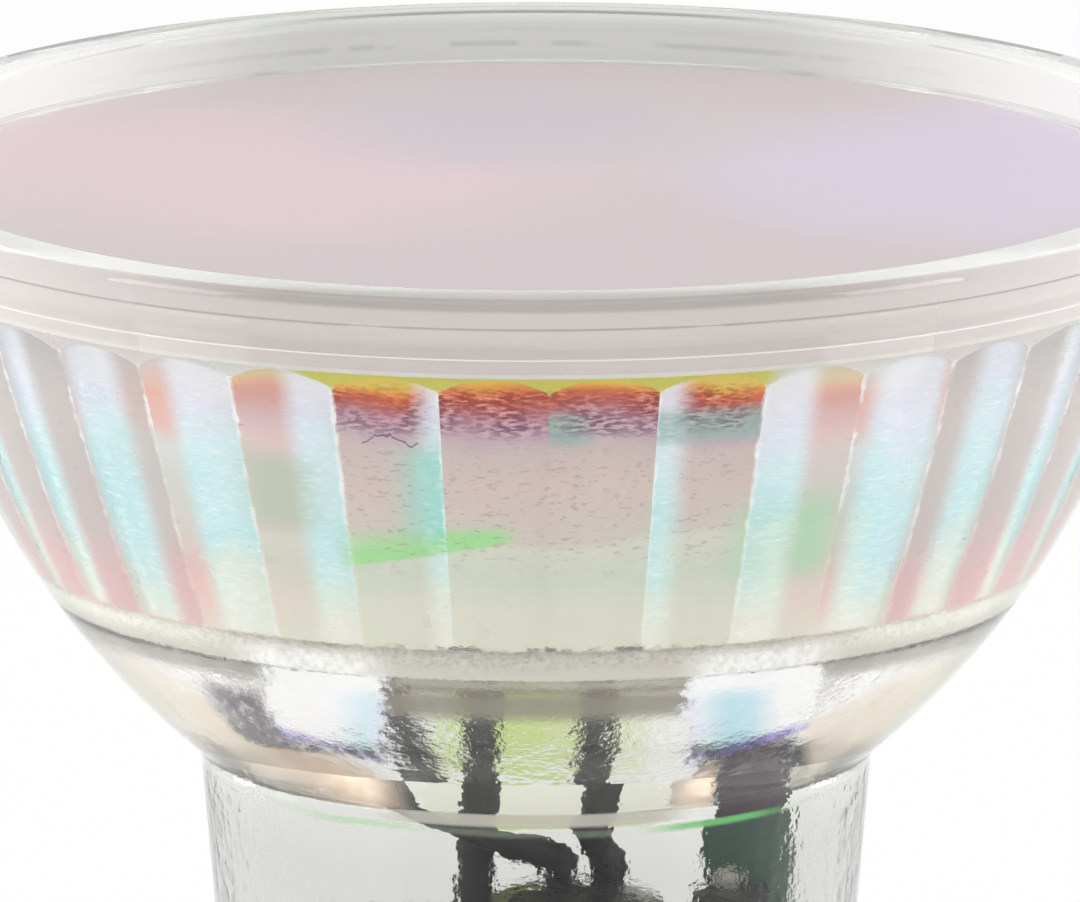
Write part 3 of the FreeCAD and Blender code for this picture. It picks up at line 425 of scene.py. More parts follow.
class GlassFinish(Finish):
    """A finish for a face of the glass, which knows its place round the lamp."""

    def __init__(self, name):
        super().__init__(name)
        self.radius = self.distance(self.x, self.y)
        front = self.maths("MULTIPLY", self.y, -1.0)
        self.turn = self.maths("ARCTAN2", self.x, front)
        self.side = self.maths("ARCTAN2", self.x, self.maths("ABSOLUTE", self.y))
        self.aside = self.maths("ABSOLUTE", self.side)

    def let_lamps_through(self, surface):
        """Shadows pass the clear glass, so that what stands inside is lit."""
        shadow = self.add("ShaderNodeLightPath", {}, "Is Shadow Ray")
        open_way = self.add("ShaderNodeBsdfTransparent", {"Color": (0.93, 0.94, 0.92)})
        both = self.add("ShaderNodeMixShader", {0: shadow, 1: surface, 2: open_way})
        self.feed(both, self.surface)


GLASS_INDEX = 1.33
RIPPLE_DEPTH = 0.008
DENT_DEPTH = 0.02
RIB_DEPTH = 0.02
RIBS_PER_RADIAN = 26.0
RIBS_PER_MILLIMETRE = 0.35


def outside_relief(finish):
    """A soft ripple all over, dents on the shoulder and upright ribs on the neck."""
    shoulder = finish.product(finish.rise(finish.z, 27.0, 28.4), finish.rise(finish.z, 35.0, 33.6))
    neck = finish.product(finish.rise(finish.z, 24.6, 23.0), finish.rise(finish.z, 9.0, 10.0))
    ribs_place = finish.add("ShaderNodeCombineXYZ", {
        0: finish.maths("MULTIPLY", finish.turn, RIBS_PER_RADIAN),
        1: finish.maths("MULTIPLY", finish.z, RIBS_PER_MILLIMETRE),
        2: 0.0,
    })
    ribs = finish.add("ShaderNodeTexNoise", {"Vector": ribs_place, "Scale": 1.0, "Detail": 2.0})
    dents = finish.grain(4.2, 3.0, (1.0, 1.0, 1.5))
    rough = finish.maths("ADD", shoulder, finish.product(neck, 0.7))
    relief = finish.bump(finish.grain(1.1, 2.0), RIPPLE_DEPTH)
    relief = finish.bump(finish.product(dents, rough), DENT_DEPTH, relief)
    return finish.bump(finish.product(ribs, neck), RIB_DEPTH, relief)


def outside_tint(finish, brim):
    """Greyer in the thick neck and where seen edge-on, with painted shade and highlight on the collar
    and brim.
    """
    tint = finish.ramp(finish.slope(finish.z, 20.0, 50.0, 0.0, 1.0), [
        (0.10, (0.71, 0.715, 0.69)),
        (0.24, (0.99, 0.99, 0.98)),
        (0.44, (0.99, 0.99, 0.98)),
        (0.54, (0.95, 0.955, 0.94)),
        (0.78, (0.95, 0.955, 0.94)),
        (0.82, (1.0, 1.0, 0.99)),
    ])
    # Painted shade makes the collar darker in front and behind, and a painted highlight makes it
    # lighter at the sides.
    collar = finish.mix(finish.rise(finish.aside, 0.4, 1.25), (0.84, 0.85, 0.82), (0.98, 0.98, 0.97))
    tint = finish.mix(finish.rise(finish.z, 44.4, 44.9), tint, collar)
    # Painted shade darkens the brim in front and behind.
    tint = finish.mix(brim, tint, (0.48, 0.50, 0.46))
    # A painted shade line along the inner edge of the rim, in front and behind.
    inner_edge_shade = finish.product(
        finish.rise(finish.radius, 23.4, 23.15), finish.rise(finish.z, 46.55, 46.75),
        finish.rise(finish.aside, 0.5, 0.2),
    )
    tint = finish.mix(inner_edge_shade, tint, (0.16, 0.17, 0.15))
    # A painted shade line all round, along the parting step of the mould.
    parting_step_shade = finish.between(finish.z, PARTING_LEVEL - 0.03, PARTING_LEVEL + 0.03, 0.015)
    tint = finish.mix(parting_step_shade, tint, (0.42, 0.43, 0.41))
    edge_on = finish.add("ShaderNodeLayerWeight", {"Blend": 0.5}, "Facing")
    return finish.mix(finish.rise(edge_on, 0.70, 0.88), tint, (0.60, 0.63, 0.55))


def clear_glass():
    """The outside of the glass, from its base up to its brim."""
    finish = GlassFinish("clear_glass")
    relief = outside_relief(finish)
    # The brim's front and back, which take painted shade in the tint and lose their coat.
    brim = finish.product(finish.rise(finish.z, 46.5, 46.7), finish.rise(finish.aside, 0.7, 0.3))
    finish.set(
        base_color=outside_tint(finish, brim),
        roughness=0.02,
        IOR=GLASS_INDEX,
        transmission_weight=1.0,
        specular_ior_level=0.3,
        coat_weight=finish.product(finish.rise(finish.z, 42.0, 45.0), finish.rest(brim), 0.6),
        coat_roughness=0.03,
        normal=relief,
        coat_normal=relief,
    )
    finish.let_lamps_through(finish.shader.outputs[0])
    return finish.material


def pocket_glass():
    """The wall round the lens, seen through the collar as a soft beige band, with painted highlight
    and shade.
    """
    finish = GlassFinish("pocket_glass")
    tint = finish.mix(finish.grain(0.35, 2.0), seen(214, 206, 199), seen(205, 203, 197))
    # Painted highlight: the wall is near white at the sides.
    tint = finish.mix(finish.rise(finish.aside, 0.35, 1.0), tint, seen(254, 251, 247))
    # Painted shade: the wall behind the lens is darker in its middle.
    far = finish.product(finish.rise(finish.y, 0.0, 8.0), finish.rise(finish.aside, 0.9, 0.3))
    tint = finish.mix(far, tint, seen(190, 192, 187))
    # Painted shade: broken dark dashes along the wall behind the lens.
    back_line_shade = finish.product(finish.between(finish.z, 45.75, 45.95, 0.08), far,
                            finish.rise(finish.grain(0.5, 2.0), 0.42, 0.55))
    tint = finish.mix(finish.product(back_line_shade, 0.5), tint, seen(140, 144, 144))
    # A painted shade line along the top of the wall in front.
    near_edge_shade = finish.product(
        finish.rise(finish.z, 46.55, 46.75), finish.rise(finish.y, 0.0, -8.0),
        finish.rise(finish.aside, 0.5, 0.2),
    )
    tint = finish.mix(near_edge_shade, tint, seen(84, 86, 80))
    finish.set(base_color=tint, roughness=0.3, normal=finish.bump(finish.grain(2.0), 0.01))
    glass = finish.add("ShaderNodeBsdfPrincipled", {
        "Base Color": (0.97, 0.97, 0.965),
        "Roughness": 0.03,
        "IOR": GLASS_INDEX,
        "Transmission Weight": 1.0,
    })
    covered = finish.maths("MAXIMUM", finish.slope(far, 0.0, 1.0, 0.3, 0.75), near_edge_shade)
    both = finish.add("ShaderNodeMixShader", {0: covered, 1: glass, 2: finish.shader.outputs[0]})
    finish.let_lamps_through(both)
    return finish.material


STREAK_DEPTH = 0.03
CRACK_DEPTH = 0.03


class CoatedFinish(GlassFinish):
    """The finish of the coated bowl, which knows each point's flute and its place in it."""

    def __init__(self, name):
        super().__init__(name)
        self.height = self.slope(self.z, BOARD_TOP, LEDGE_LEVEL, 0.0, 1.0)
        count = self.maths("DIVIDE", self.maths("SUBTRACT", self.turn, FLUTE_PHASE), FLUTE_PITCH)
        self.within = self.maths("FRACT", count)
        middle = self.maths("ADD", self.maths("FLOOR", count), 0.5)
        self.centre = self.maths("ADD", self.maths("MULTIPLY", middle, FLUTE_PITCH), FLUTE_PHASE)
        self.centre_aside = self.maths("PINGPONG", self.centre, math.pi / 2)
        facing = self.product(self.maths("SIGN", self.x), self.maths("SIGN", self.y), -1.0)
        offset = self.maths("SUBTRACT", self.within, 0.5)
        self.across = self.maths("ADD", self.product(facing, offset), 0.5)
        self.wander = self.grain(0.22, 2.0)
        self.crinkle = self.grain(2.8, 8.0, (1.0, 1.0, 3.2))
        self.colour = None

    def lay(self, share, paint, strength=1.0):
        """Lays a colour over those before, where the share is above 0."""
        self.colour = self.mix(self.product(share, strength), self.colour, paint)


def wandering(coat, reach):
    """The height in the bowl, 0 to 1, shifted a little up and down from place to place."""
    return coat.maths("ADD", coat.height, coat.slope(coat.wander, 0.3, 0.7, -reach, reach))


def flute_bands(coat):
    """Bands of colour up the flutes: warm in front, pink aside and grey at the far sides."""
    level = wandering(coat, 0.035)
    central = coat.ramp(level, [
        (0.00, seen(216, 218, 200)),
        (0.14, seen(219, 217, 202)),
        (0.28, seen(205, 213, 197)),
        (0.39, seen(214, 212, 198)),
        (0.42, seen(208, 199, 190)),
        (0.60, seen(211, 192, 187)),
        (0.72, seen(206, 188, 186)),
        (0.77, seen(200, 172, 184)),
        (0.825, seen(196, 146, 162)),
        (0.87, seen(206, 104, 92)),
        (0.90, seen(230, 108, 54)),
        (0.925, seen(250, 174, 60)),
        (0.945, seen(240, 212, 86)),
    ])
    sideways = coat.ramp(level, [
        (0.00, seen(230, 222, 208)),
        (0.10, seen(236, 204, 196)),
        (0.22, seen(232, 192, 188)),
        (0.34, seen(218, 206, 200)),
        (0.50, seen(214, 214, 210)),
        (0.66, seen(222, 222, 220)),
        (0.73, seen(238, 192, 186)),
        (0.86, seen(244, 190, 176)),
        (0.94, seen(242, 214, 206)),
        (1.00, seen(234, 232, 232)),
    ])
    far_side = coat.ramp(level, [
        (0.00, seen(226, 186, 184)),
        (0.14, seen(222, 184, 186)),
        (0.34, seen(204, 192, 190)),
        (0.60, seen(206, 196, 194)),
        (1.00, seen(212, 208, 206)),
    ])
    pale = coat.product(
        coat.rise(coat.centre_aside, 0.3, 0.45), coat.rise(coat.z, 40.0, 41.0), 0.35
    )
    central = coat.mix(pale, central, seen(244, 226, 222))
    plain = coat.mix(coat.rise(coat.centre_aside, 0.36, 0.7), central, sideways)
    return coat.mix(coat.rise(coat.centre_aside, 0.7, 0.95), plain, far_side)


def painted_highlight_strip(coat):
    """Painted highlight on each flute: a band along one of its sides that shifts round the lamp."""
    outward = coat.rise(coat.centre_aside, 0.68, 0.70)
    inner_end = coat.slope(coat.centre_aside, 0.2, 0.67, 0.08, 0.66)
    highlight_end = coat.add("ShaderNodeMix", {"Factor": outward, 2: inner_end, 3: 0.93})
    outer_start = coat.slope(coat.centre_aside, 0.70, 1.1, 0.1, 0.5)
    highlight_start = coat.add("ShaderNodeMix", {"Factor": outward, 2: -0.3, 3: outer_start})
    return coat.product(
        coat.rise(coat.maths("SUBTRACT", coat.across, highlight_end), 0.14, -0.14),
        coat.rise(coat.maths("SUBTRACT", coat.across, highlight_start), -0.14, 0.14),
        coat.rise(coat.centre_aside, 0.16, 0.24), coat.rise(coat.z, 33.0, 33.1),
    )


def highlight_colours(coat):
    """Painted highlight colours: cream at the foot, cyan in the middle and nearly white at the top."""
    return coat.ramp(wandering(coat, 0.15), [
        (0.00, seen(236, 234, 224)),
        (0.18, seen(222, 238, 226)),
        (0.40, seen(196, 236, 240)),
        (0.62, seen(212, 240, 244)),
        (0.80, seen(230, 236, 250)),
        (1.00, seen(244, 246, 252)),
    ])


def green_patches(coat, highlight_strip):
    """Small green and teal patches where the film is thickest."""
    z = coat.z
    tongue_foot = coat.slope(coat.side, -0.36, 0.0, 36.2, 37.5)
    above_foot = coat.maths("SUBTRACT", z, tongue_foot)
    tongue = coat.product(
        coat.rise(above_foot, -0.06, 0.1), coat.rise(above_foot, 1.7, 0.3),
        coat.rise(z, 38.2, 37.6), coat.between(coat.side, -0.375, -0.05, 0.03),
    )
    coat.lay(tongue, seen(156, 220, 144), 0.9)
    leaf = coat.product(
        coat.between(coat.side, 0.40, 0.60, 0.06), coat.between(z, 35.6, 38.6, 0.8),
        coat.slope(highlight_strip, 0.0, 1.0, 0.75, 0.2),
    )
    coat.lay(leaf, seen(166, 216, 176))
    moss = coat.product(
        coat.between(coat.side, -0.56, -0.42, 0.05), coat.between(z, 37.6, 40.2, 0.5)
    )
    coat.lay(moss, seen(176, 198, 172), 0.6)
    teal = coat.product(
        coat.between(coat.centre, -0.36, -0.2, 0.01), coat.rise(coat.across, 0.6, 0.1),
        coat.between(z, 37.4, 40.9, 0.5),
    )
    coat.lay(teal, seen(152, 220, 206), 0.8)
    beside = coat.maths(
        "MAXIMUM", coat.rise(coat.across, 0.5, 0.2), coat.rise(coat.centre, 0.21, 0.23)
    )
    mint = coat.product(
        coat.between(coat.centre, 0.0, 0.4, 0.01), beside, coat.between(z, 41.1, 42.3, 0.3)
    )
    coat.lay(mint, seen(150, 188, 180), 0.75)


def fine_cracks(coat, highlight_strip):
    """Red and purple crinkles under the front arches, faint flecks and one long dark line."""
    wrinkled = coat.product(
        coat.between(coat.z, 41.5, 43.15, 0.35), coat.rise(coat.aside, 0.44, 0.34),
        coat.slope(coat.grain(0.6, 1.0), 0.35, 0.6, 0.4, 1.0), coat.rest(highlight_strip),
    )
    cracks = coat.product(coat.rise(coat.crinkle, 0.48, 0.58), wrinkled)
    glints = coat.product(coat.rise(coat.crinkle, 0.42, 0.36), wrinkled)
    crack_colour = coat.mix(coat.rise(coat.z, 41.9, 42.6), seen(112, 58, 106), seen(150, 24, 18))
    coat.lay(cracks, crack_colour, 0.8)
    coat.lay(glints, seen(250, 222, 214), 0.4)
    faint = coat.product(
        coat.rise(coat.crinkle, 0.57, 0.66), coat.between(coat.z, 36.5, 41.0, 1.0),
        coat.rise(coat.aside, 0.44, 0.34), coat.slope(highlight_strip, 0.0, 1.0, 0.4, 0.0),
    )
    coat.lay(faint, seen(140, 124, 124))
    wave = coat.slope(coat.grain(0.9, 5.0, (1.0, 1.0, 0.1)), 0.3, 0.7, 40.9, 41.7)
    long_crack = coat.product(
        coat.rise(coat.apart(coat.z, wave), 0.05, 0.02), coat.between(coat.side, -0.56, -0.05, 0.02),
        coat.rise(coat.grain(0.45, 0.0), 0.46, 0.52),
    )
    coat.lay(long_crack, seen(96, 60, 110), 0.8)
    return cracks


def white_edges(coat, highlight_strip):
    """Ragged white lines where two flutes meet, and fine upright painted highlights over the highlight
    bands.
    """
    nearest = coat.maths("MINIMUM", coat.within, coat.rest(coat.within))
    jagged = coat.maths("ADD", nearest, coat.slope(coat.grain(2.5, 6.0), 0.3, 0.7, -0.02, 0.02))
    edge = coat.product(
        coat.rise(jagged, 0.034, 0.006), coat.rise(coat.centre_aside, 0.1, 0.25),
        coat.slope(coat.grain(0.9, 5.0), 0.38, 0.6, 0.1, 1.0),
        coat.slope(coat.z, 34.0, 42.0, 0.2, 0.95),
    )
    coat.lay(edge, seen(253, 254, 254))
    # Painted highlight: fine upright white lines over the highlight bands.
    highlight_streaks = coat.rise(coat.grain(2.4, 8.0, (1.0, 1.0, 4.0)), 0.46, 0.72)
    coat.lay(coat.product(highlight_streaks, highlight_strip), seen(255, 255, 255), 0.36)


def over_the_arches(coat):
    """1 on the cone over the flutes' arched tops, which lies outside the flutes themselves."""
    crown = coat.product(coat.within, coat.rest(coat.within), 4 * FLUTE_DEPTH)
    bow = coat.product(coat.height, coat.rest(coat.height), 4 * FLUTE_BOW)
    rise = coat.slope(coat.height, 0.0, 1.0, FLUTE_LOW_RADIUS, FLUTE_TOP_RADIUS)
    flute = coat.maths("ADD", coat.maths("ADD", rise, bow), crown)
    outside = coat.rise(coat.maths("SUBTRACT", coat.radius, flute), 0.015, 0.05)
    return coat.product(outside, coat.rise(coat.z, ARCH_FOOT - 0.1, ARCH_FOOT))


def seat_wall(coat):
    """The speckled wall round the light board, which sparkles at both sides."""
    mottle = coat.grain(5.0, 5.0, (1.0, 1.0, 2.4))
    seat = coat.ramp(mottle, [
        (0.34, seen(176, 172, 164)),
        (0.48, seen(200, 196, 186)),
        (0.66, seen(214, 211, 201)),
    ])
    sparkle = coat.mix(coat.rise(mottle, 0.42, 0.56), seen(222, 221, 210), seen(246, 246, 236))
    seat = coat.mix(coat.rise(coat.aside, 0.5, 0.9), seat, sparkle)
    seat = coat.mix(coat.rise(coat.z, 32.6, 31.9), seat, seen(210, 205, 195))
    glare = coat.product(
        coat.between(coat.maths("ABSOLUTE", coat.x), 5.4, 9.8, 0.9),
        coat.slope(coat.grain(4.0, 3.0), 0.35, 0.6, 0.5, 1.0), coat.rise(coat.z, 33.0, 32.3),
    )
    return coat.mix(glare, seat, seen(255, 255, 253))


def pearly_coating():
    """The coated bowl: bands of interference colour that change from flute to flute, under a painted
    highlight on each.
    """
    coat = CoatedFinish("pearly_coating")
    # Painted highlight band along one side of each flute.
    highlight_strip = painted_highlight_strip(coat)
    coat.colour = flute_bands(coat)
    # Painted highlight colours laid over the highlight band.
    coat.lay(highlight_strip, highlight_colours(coat), 0.92)
    green_patches(coat, highlight_strip)
    cracks = fine_cracks(coat, highlight_strip)
    white_edges(coat, highlight_strip)

    over_arch = over_the_arches(coat)
    beside = coat.rise(coat.aside, 0.40, 0.46)
    coat.lay(over_arch, coat.mix(beside, seen(222, 218, 96), seen(255, 255, 255)))
    ledge = coat.mix(coat.rise(coat.aside, 0.4, 1.1), seen(210, 202, 207), seen(240, 235, 234))
    coat.lay(coat.rise(coat.z, LEDGE_LEVEL - 0.05, LEDGE_LEVEL - 0.03), ledge)
    foot = coat.rise(coat.z, BOARD_TOP + 0.05, BOARD_TOP - 0.05)
    coat.lay(foot, seat_wall(coat))
    seam = coat.product(
        coat.between(coat.z, 33.0, 33.16, 0.04), coat.rise(coat.aside, 0.36, 0.2),
        coat.rise(coat.grain(1.4, 2.0), 0.44, 0.54),
    )
    coat.lay(seam, seen(82, 80, 88), 0.8)

    streaked = coat.bump(coat.grain(0.9, 6.0, (1.0, 1.0, 4.0)), STREAK_DEPTH)
    satin = coat.slope(coat.grain(0.8), 0.3, 0.7, 0.26, 0.38)
    coat.set(
        base_color=coat.colour,
        metallic=coat.maths(
            "MAXIMUM", coat.product(over_arch, beside, 0.8),
            coat.product(highlight_strip, coat.rest(over_arch), 0.55),
        ),
        roughness=coat.maths("ADD", satin, coat.product(foot, 0.4)),
        specular_ior_level=0.5,
        normal=coat.bump(cracks, -CRACK_DEPTH, streaked),
    )
    return coat.material


class FilmFinish(GlassFinish):
    """Clear glass with patches of film, painted highlight and painted shade on it, each laid over the
    ones before.
    """

    def __init__(self, name):
        super().__init__(name)
        self.back = self.rise(self.y, 0.0, 0.5)
        self.front = self.rest(self.back)
        self.cloud = self.grain(0.9, 3.0)
        self.speckle = self.grain(3.4, 4.0)
        self.cover = self.product(
            self.slope(self.cloud, 0.35, 0.65, 0.0, 0.03), self.rise(self.z, 24.6, 26.0)
        )
        self.colour = self.mix(self.cloud, seen(226, 224, 216), seen(236, 236, 234))

    def patch(self, share, paint, strength):
        """Lays one patch over the glass and over the patches before; the patches are film, painted
        highlight and painted shade.
        """
        share = self.product(share, strength)
        self.colour = self.mix(self.rise(share, 0.02, 0.25), self.colour, paint)
        self.cover = self.maths("MAXIMUM", self.cover, share)
        return share


def peach_band(film):
    """A peach band that climbs to both sides, broken where the dark block stands behind it."""
    block_shows = film.product(
        film.between(film.x, 5.9, 8.7, 0.3), film.rise(film.z, 29.4, 29.0), film.front
    )
    middle = film.slope(film.aside, 0.40, 1.20, 26.3, 29.3)
    peach = film.product(
        film.rise(film.apart(film.z, middle), film.slope(film.aside, 0.5, 1.1, 1.7, 3.4), 0.3),
        film.rise(film.aside, 0.36, 0.60), film.rest(block_shows),
        film.slope(film.grain(0.35, 1.0), 0.35, 0.65, 0.75, 1.0),
    )
    colour = film.mix(film.rise(film.aside, 0.75, 1.0), seen(255, 228, 204), seen(252, 238, 216))
    colour = film.mix(film.rise(film.aside, 1.2, 1.45), colour, seen(244, 240, 228))
    film.patch(peach, colour, 0.95)
    return peach


def front_bands(film):
    """Painted shade in grey and taupe bands under the shelf in front, and a beige band at the neck's
    top.
    """
    # Painted shade: a grey band under the shelf in front.
    shelf = film.mix(film.rise(film.cloud, 0.42, 0.58), seen(186, 182, 172), seen(202, 198, 188))
    film.patch(
        film.product(film.rise(film.z, 30.9, 31.4), film.rise(film.z, 31.9, 31.7), film.front),
        shelf, 0.9,
    )
    # Painted shade: a taupe band in front, a little lower.
    taupe = film.product(
        film.between(film.aside, -0.4, 0.46, 0.08), film.between(film.z, 30.2, 31.3, 0.35), film.front
    )
    film.patch(taupe, seen(154, 147, 133), 0.9)
    beige = film.product(
        film.between(film.aside, -0.4, 0.50, 0.1), film.between(film.z, 24.85, 25.7, 0.15), film.front
    )
    film.patch(beige, seen(214, 210, 200), 0.85)


def dark_patches(film):
    """Painted shade in front of the block at the right, and a dark speckled patch beside the left
    window.
    """
    # Painted shade: a dark patch in front of the block at the right.
    ragged_x = film.maths("ADD", film.x, film.slope(film.speckle, 0.3, 0.7, -0.4, 0.4))
    block_shade = film.product(
        film.between(ragged_x, 6.1, 8.1, 0.3), film.between(film.z, 26.2, 29.1, 0.2), film.front
    )
    film.patch(block_shade, seen(56, 38, 46), 0.72)
    # A dark speckled patch beside the left window.
    left_dark_speckle = film.product(
        film.between(film.side, -0.94, -0.66, 0.06), film.between(film.z, 28.5, 30.6, 0.4),
        film.rise(film.speckle, 0.34, 0.46),
    )
    film.patch(left_dark_speckle, seen(96, 88, 100), 0.9)


def highlight_windows(film):
    """Two bright painted reflections, mirror-like fields with ragged sides, and a violet line along
    their feet.
    """
    across = film.maths("ABSOLUTE", film.x)
    right = film.rise(film.x, -1.0, 1.0)
    ragged = film.slope(film.speckle, 0.3, 0.7, -0.45, 0.45)
    to_inner = film.maths("ADD", film.maths("SUBTRACT", across, 5.05), ragged)
    outer = film.maths(
        "ADD", film.slope(film.z, 28.4, 30.2, 7.7, 8.9), film.slope(film.x, -1.0, 1.0, 0.0, 0.4)
    )
    to_outer = film.maths("ADD", film.maths("SUBTRACT", outer, across), ragged)
    above_low = film.maths("SUBTRACT", film.z, film.slope(across, 5.1, 9.2, 28.2, 29.2))
    to_low = film.maths("ADD", above_low, film.product(ragged, 0.5))
    outward = film.slope(across, 5.0, 9.0, 0.0, 1.0)
    left_window = film.ramp(outward, [
        (0.00, seen(234, 240, 253)),
        (0.16, seen(222, 244, 252)),
        (0.44, seen(255, 255, 255)),
    ])
    right_window = film.ramp(outward, [
        (0.00, seen(242, 240, 253)),
        (0.12, seen(236, 244, 253)),
        (0.34, seen(196, 234, 246)),
        (0.52, seen(206, 238, 248)),
        (0.76, seen(255, 255, 255)),
    ])
    window = film.mix(right, left_window, right_window)
    window = film.mix(film.rise(film.z, 30.6, 31.4), window, seen(255, 255, 255))
    violet = film.mix(right, seen(200, 188, 242), seen(134, 116, 210))
    window = film.mix(film.rise(above_low, 0.45, 0.0), window, violet)
    # Painted reflection: two near-white fields at the left and right of the chamber.
    field = film.product(
        film.rise(to_inner, -0.2, 0.2), film.rise(to_outer, -0.2, 0.2),
        film.rise(to_low, -0.15, 0.15), film.rise(film.z, 32.0, 31.8),
    )
    return film.patch(field, window, 0.98)


def green_highlight_line(film):
    """A painted highlight: a thin green line round the front of the bore, close under the neck's top.
    """
    waver = film.slope(film.grain(0.25, 1.0), 0.3, 0.7, -0.08, 0.08)
    line = film.product(
        film.between(film.maths("ADD", film.z, waver), 24.34, 24.68, 0.1),
        film.slope(film.between(film.aside, 0.44, 0.86, 0.12), 0.0, 1.0, 0.2, 1.0),
        film.rise(film.y, 0.0, -1.0),
    )
    green = film.mix(film.rise(film.side, 0.3, 0.5), seen(214, 242, 210), seen(120, 214, 128))
    film.patch(line, green, 0.9)


def lime_tint(film):
    """The clear glass itself, tinted lime in a field at the back that fades upwards."""
    lime = film.mix(film.rise(film.side, -0.1, 0.45), (0.40, 0.58, 0.06), (0.66, 0.70, 0.34))
    lime = film.mix(film.rise(film.z, 26.0, 27.0), lime, (0.66, 0.68, 0.50))
    field = film.product(
        film.back, film.between(film.side, -0.40, 0.46, 0.1), film.rise(film.z, 20.8, 21.4)
    )
    return film.mix(field, (0.97, 0.975, 0.96), lime)


def chamber_film():
    """The chamber and the bore: clear glass under faint, uneven patches of the same film, with painted
    highlights and painted shade among them.
    """
    film = FilmFinish("chamber_film")
    relief = film.bump(film.grain(1.3, 2.0), 0.04)
    peach = peach_band(film)
    front_bands(film)
    dark_patches(film)
    bright = highlight_windows(film)
    green_highlight_line(film)
    film.set(
        base_color=film.colour,
        metallic=film.maths(
            "MAXIMUM", film.rise(bright, 0.4, 0.9),
            film.product(peach, film.rise(film.aside, 1.0, 0.8), 0.4),
        ),
        roughness=film.slope(bright, 0.4, 0.9, 0.3, 0.15),
        normal=relief,
    )
    glass = film.add("ShaderNodeBsdfPrincipled", {
        "Base Color": lime_tint(film),
        "Roughness": 0.02,
        "IOR": GLASS_INDEX,
        "Transmission Weight": 1.0,
        "Specular IOR Level": 0.3,
        "Normal": relief,
    })
    both = film.add("ShaderNodeMixShader", {0: film.cover, 1: glass, 2: film.shader.outputs[0]})
    film.let_lamps_through(both)
    return film.material


CLEAR, POCKET, COATED, CHAMBER = range(4)
glass = glass_body()
for material in (clear_glass(), pocket_glass(), pearly_coating(), chamber_film()):
    glass.data.materials.append(material)
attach(glass, "root")
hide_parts("reflector_glass")


# Contact pins
# Turned brass pins plated with nickel. Each is riveted over a steel washer through the floor
# of the glass.

def finish_nodes(material, *names):
    """Gives a finish to parts that keep their own solid shape."""
    for name in names:
        part = cad_nodes[name]
        part.data.materials.clear()
        part.data.materials.append(material)


def pin_nickel():
    finish = Finish("pin_nickel")
    lathe = finish.add("ShaderNodeTexNoise", {
        "Vector": finish.add("ShaderNodeCombineXYZ", {2: finish.z}), "Scale": 9.0, "Detail": 2.0,
    })
    cloud = finish.grain(0.8, 3.0)
    finish.set(
        base_color=finish.mix(cloud, seen(198, 196, 190), seen(220, 218, 212)),
        metallic=1.0,
        roughness=finish.slope(cloud, 0.3, 0.7, 0.16, 0.3),
        normal=finish.bump(lathe, 0.004),
    )
    return finish.material


def bright_metal(name, dark, pale, roughness, depth):
    """Metal with fine cloudy wear, such as tin, solder, steel or drawn aluminium."""
    finish = Finish(name)
    cloud = finish.grain(2.2, 4.0)
    finish.set(
        base_color=finish.mix(cloud, dark, pale),
        metallic=1.0,
        roughness=finish.slope(cloud, 0.3, 0.7, roughness * 0.75, roughness * 1.25),
        normal=finish.bump(finish.grain(4.0, 3.0), depth),
    )
    return finish.material


def washer_steel():
    return bright_metal("washer_steel", seen(170, 172, 174), seen(196, 198, 200), 0.35, 0.006)


finish_nodes(pin_nickel(), "pin_left", "pin_right")
finish_nodes(washer_steel(), "pin_washer_left", "pin_washer_right")


# Mains leads and fuse resistor
# Tinned copper wires rise from the pins to the driver board, the right one through a fuse
# resistor in a grey-green coat that stands on its own leads. Solder holds them to the board.

def tinned_copper():
    return bright_metal("tinned_copper", seen(196, 190, 180), seen(222, 218, 210), 0.28, 0.01)


def solder():
    return bright_metal("solder", seen(184, 184, 186), seen(214, 214, 216), 0.32, 0.03)


def plain_finish(name, dark, pale, roughness, scale, depth):
    """A moulded, glazed or dipped surface in two close shades, with a fine grain."""
    finish = Finish(name)
    finish.set(
        base_color=finish.mix(finish.grain(scale, 3.0), dark, pale),
        roughness=roughness,
        normal=finish.bump(finish.grain(scale * 2, 2.0), depth),
    )
    return finish.material


def fuse_coat():
    return plain_finish("fuse_coat", seen(96, 122, 112), seen(122, 146, 134), 0.4, 1.5, 0.03)


tinned = tinned_copper()
soldered = solder()
finish_nodes(tinned, "mains_lead_left", "mains_lead_right", "fuse_resistor_lead")
finish_nodes(fuse_coat(), "fuse_resistor")
finish_nodes(soldered, "mains_solder")


# Driver board
# A dark green glass-fibre board with paler cut edges. It stands upright in the neck with its
# foot in the potting, and the leads from the light board are soldered to it.

DRIVER_FACE = 0.5


def board_green():
    finish = Finish("board_green")
    weave = finish.grain(3.2, 2.0, (3.0, 1.0, 1.0))
    face = finish.mix(weave, seen(6, 48, 36), seen(14, 72, 54))
    cut = finish.mix(weave, seen(120, 128, 84), seen(150, 150, 104))
    inside = finish.rise(finish.maths("ABSOLUTE", finish.y), DRIVER_FACE - 0.01, DRIVER_FACE - 0.03)
    finish.set(
        base_color=finish.mix(inside, face, cut),
        roughness=0.32,
        normal=finish.bump(weave, 0.006),
    )
    return finish.material


finish_nodes(board_green(), "driver_board")
finish_nodes(soldered, "driver_solder")


# Bulk capacitor
# A drawn aluminium can in a shrunk black sleeve with a pale stripe, closed by a rubber bung.
# Two tinned legs carry it on the front of the driver board.

CAPACITOR_AXIS = (1.35, -3.85)


def can_aluminium():
    return bright_metal("can_aluminium", seen(56, 56, 58), seen(92, 92, 94), 0.4, 0.02)


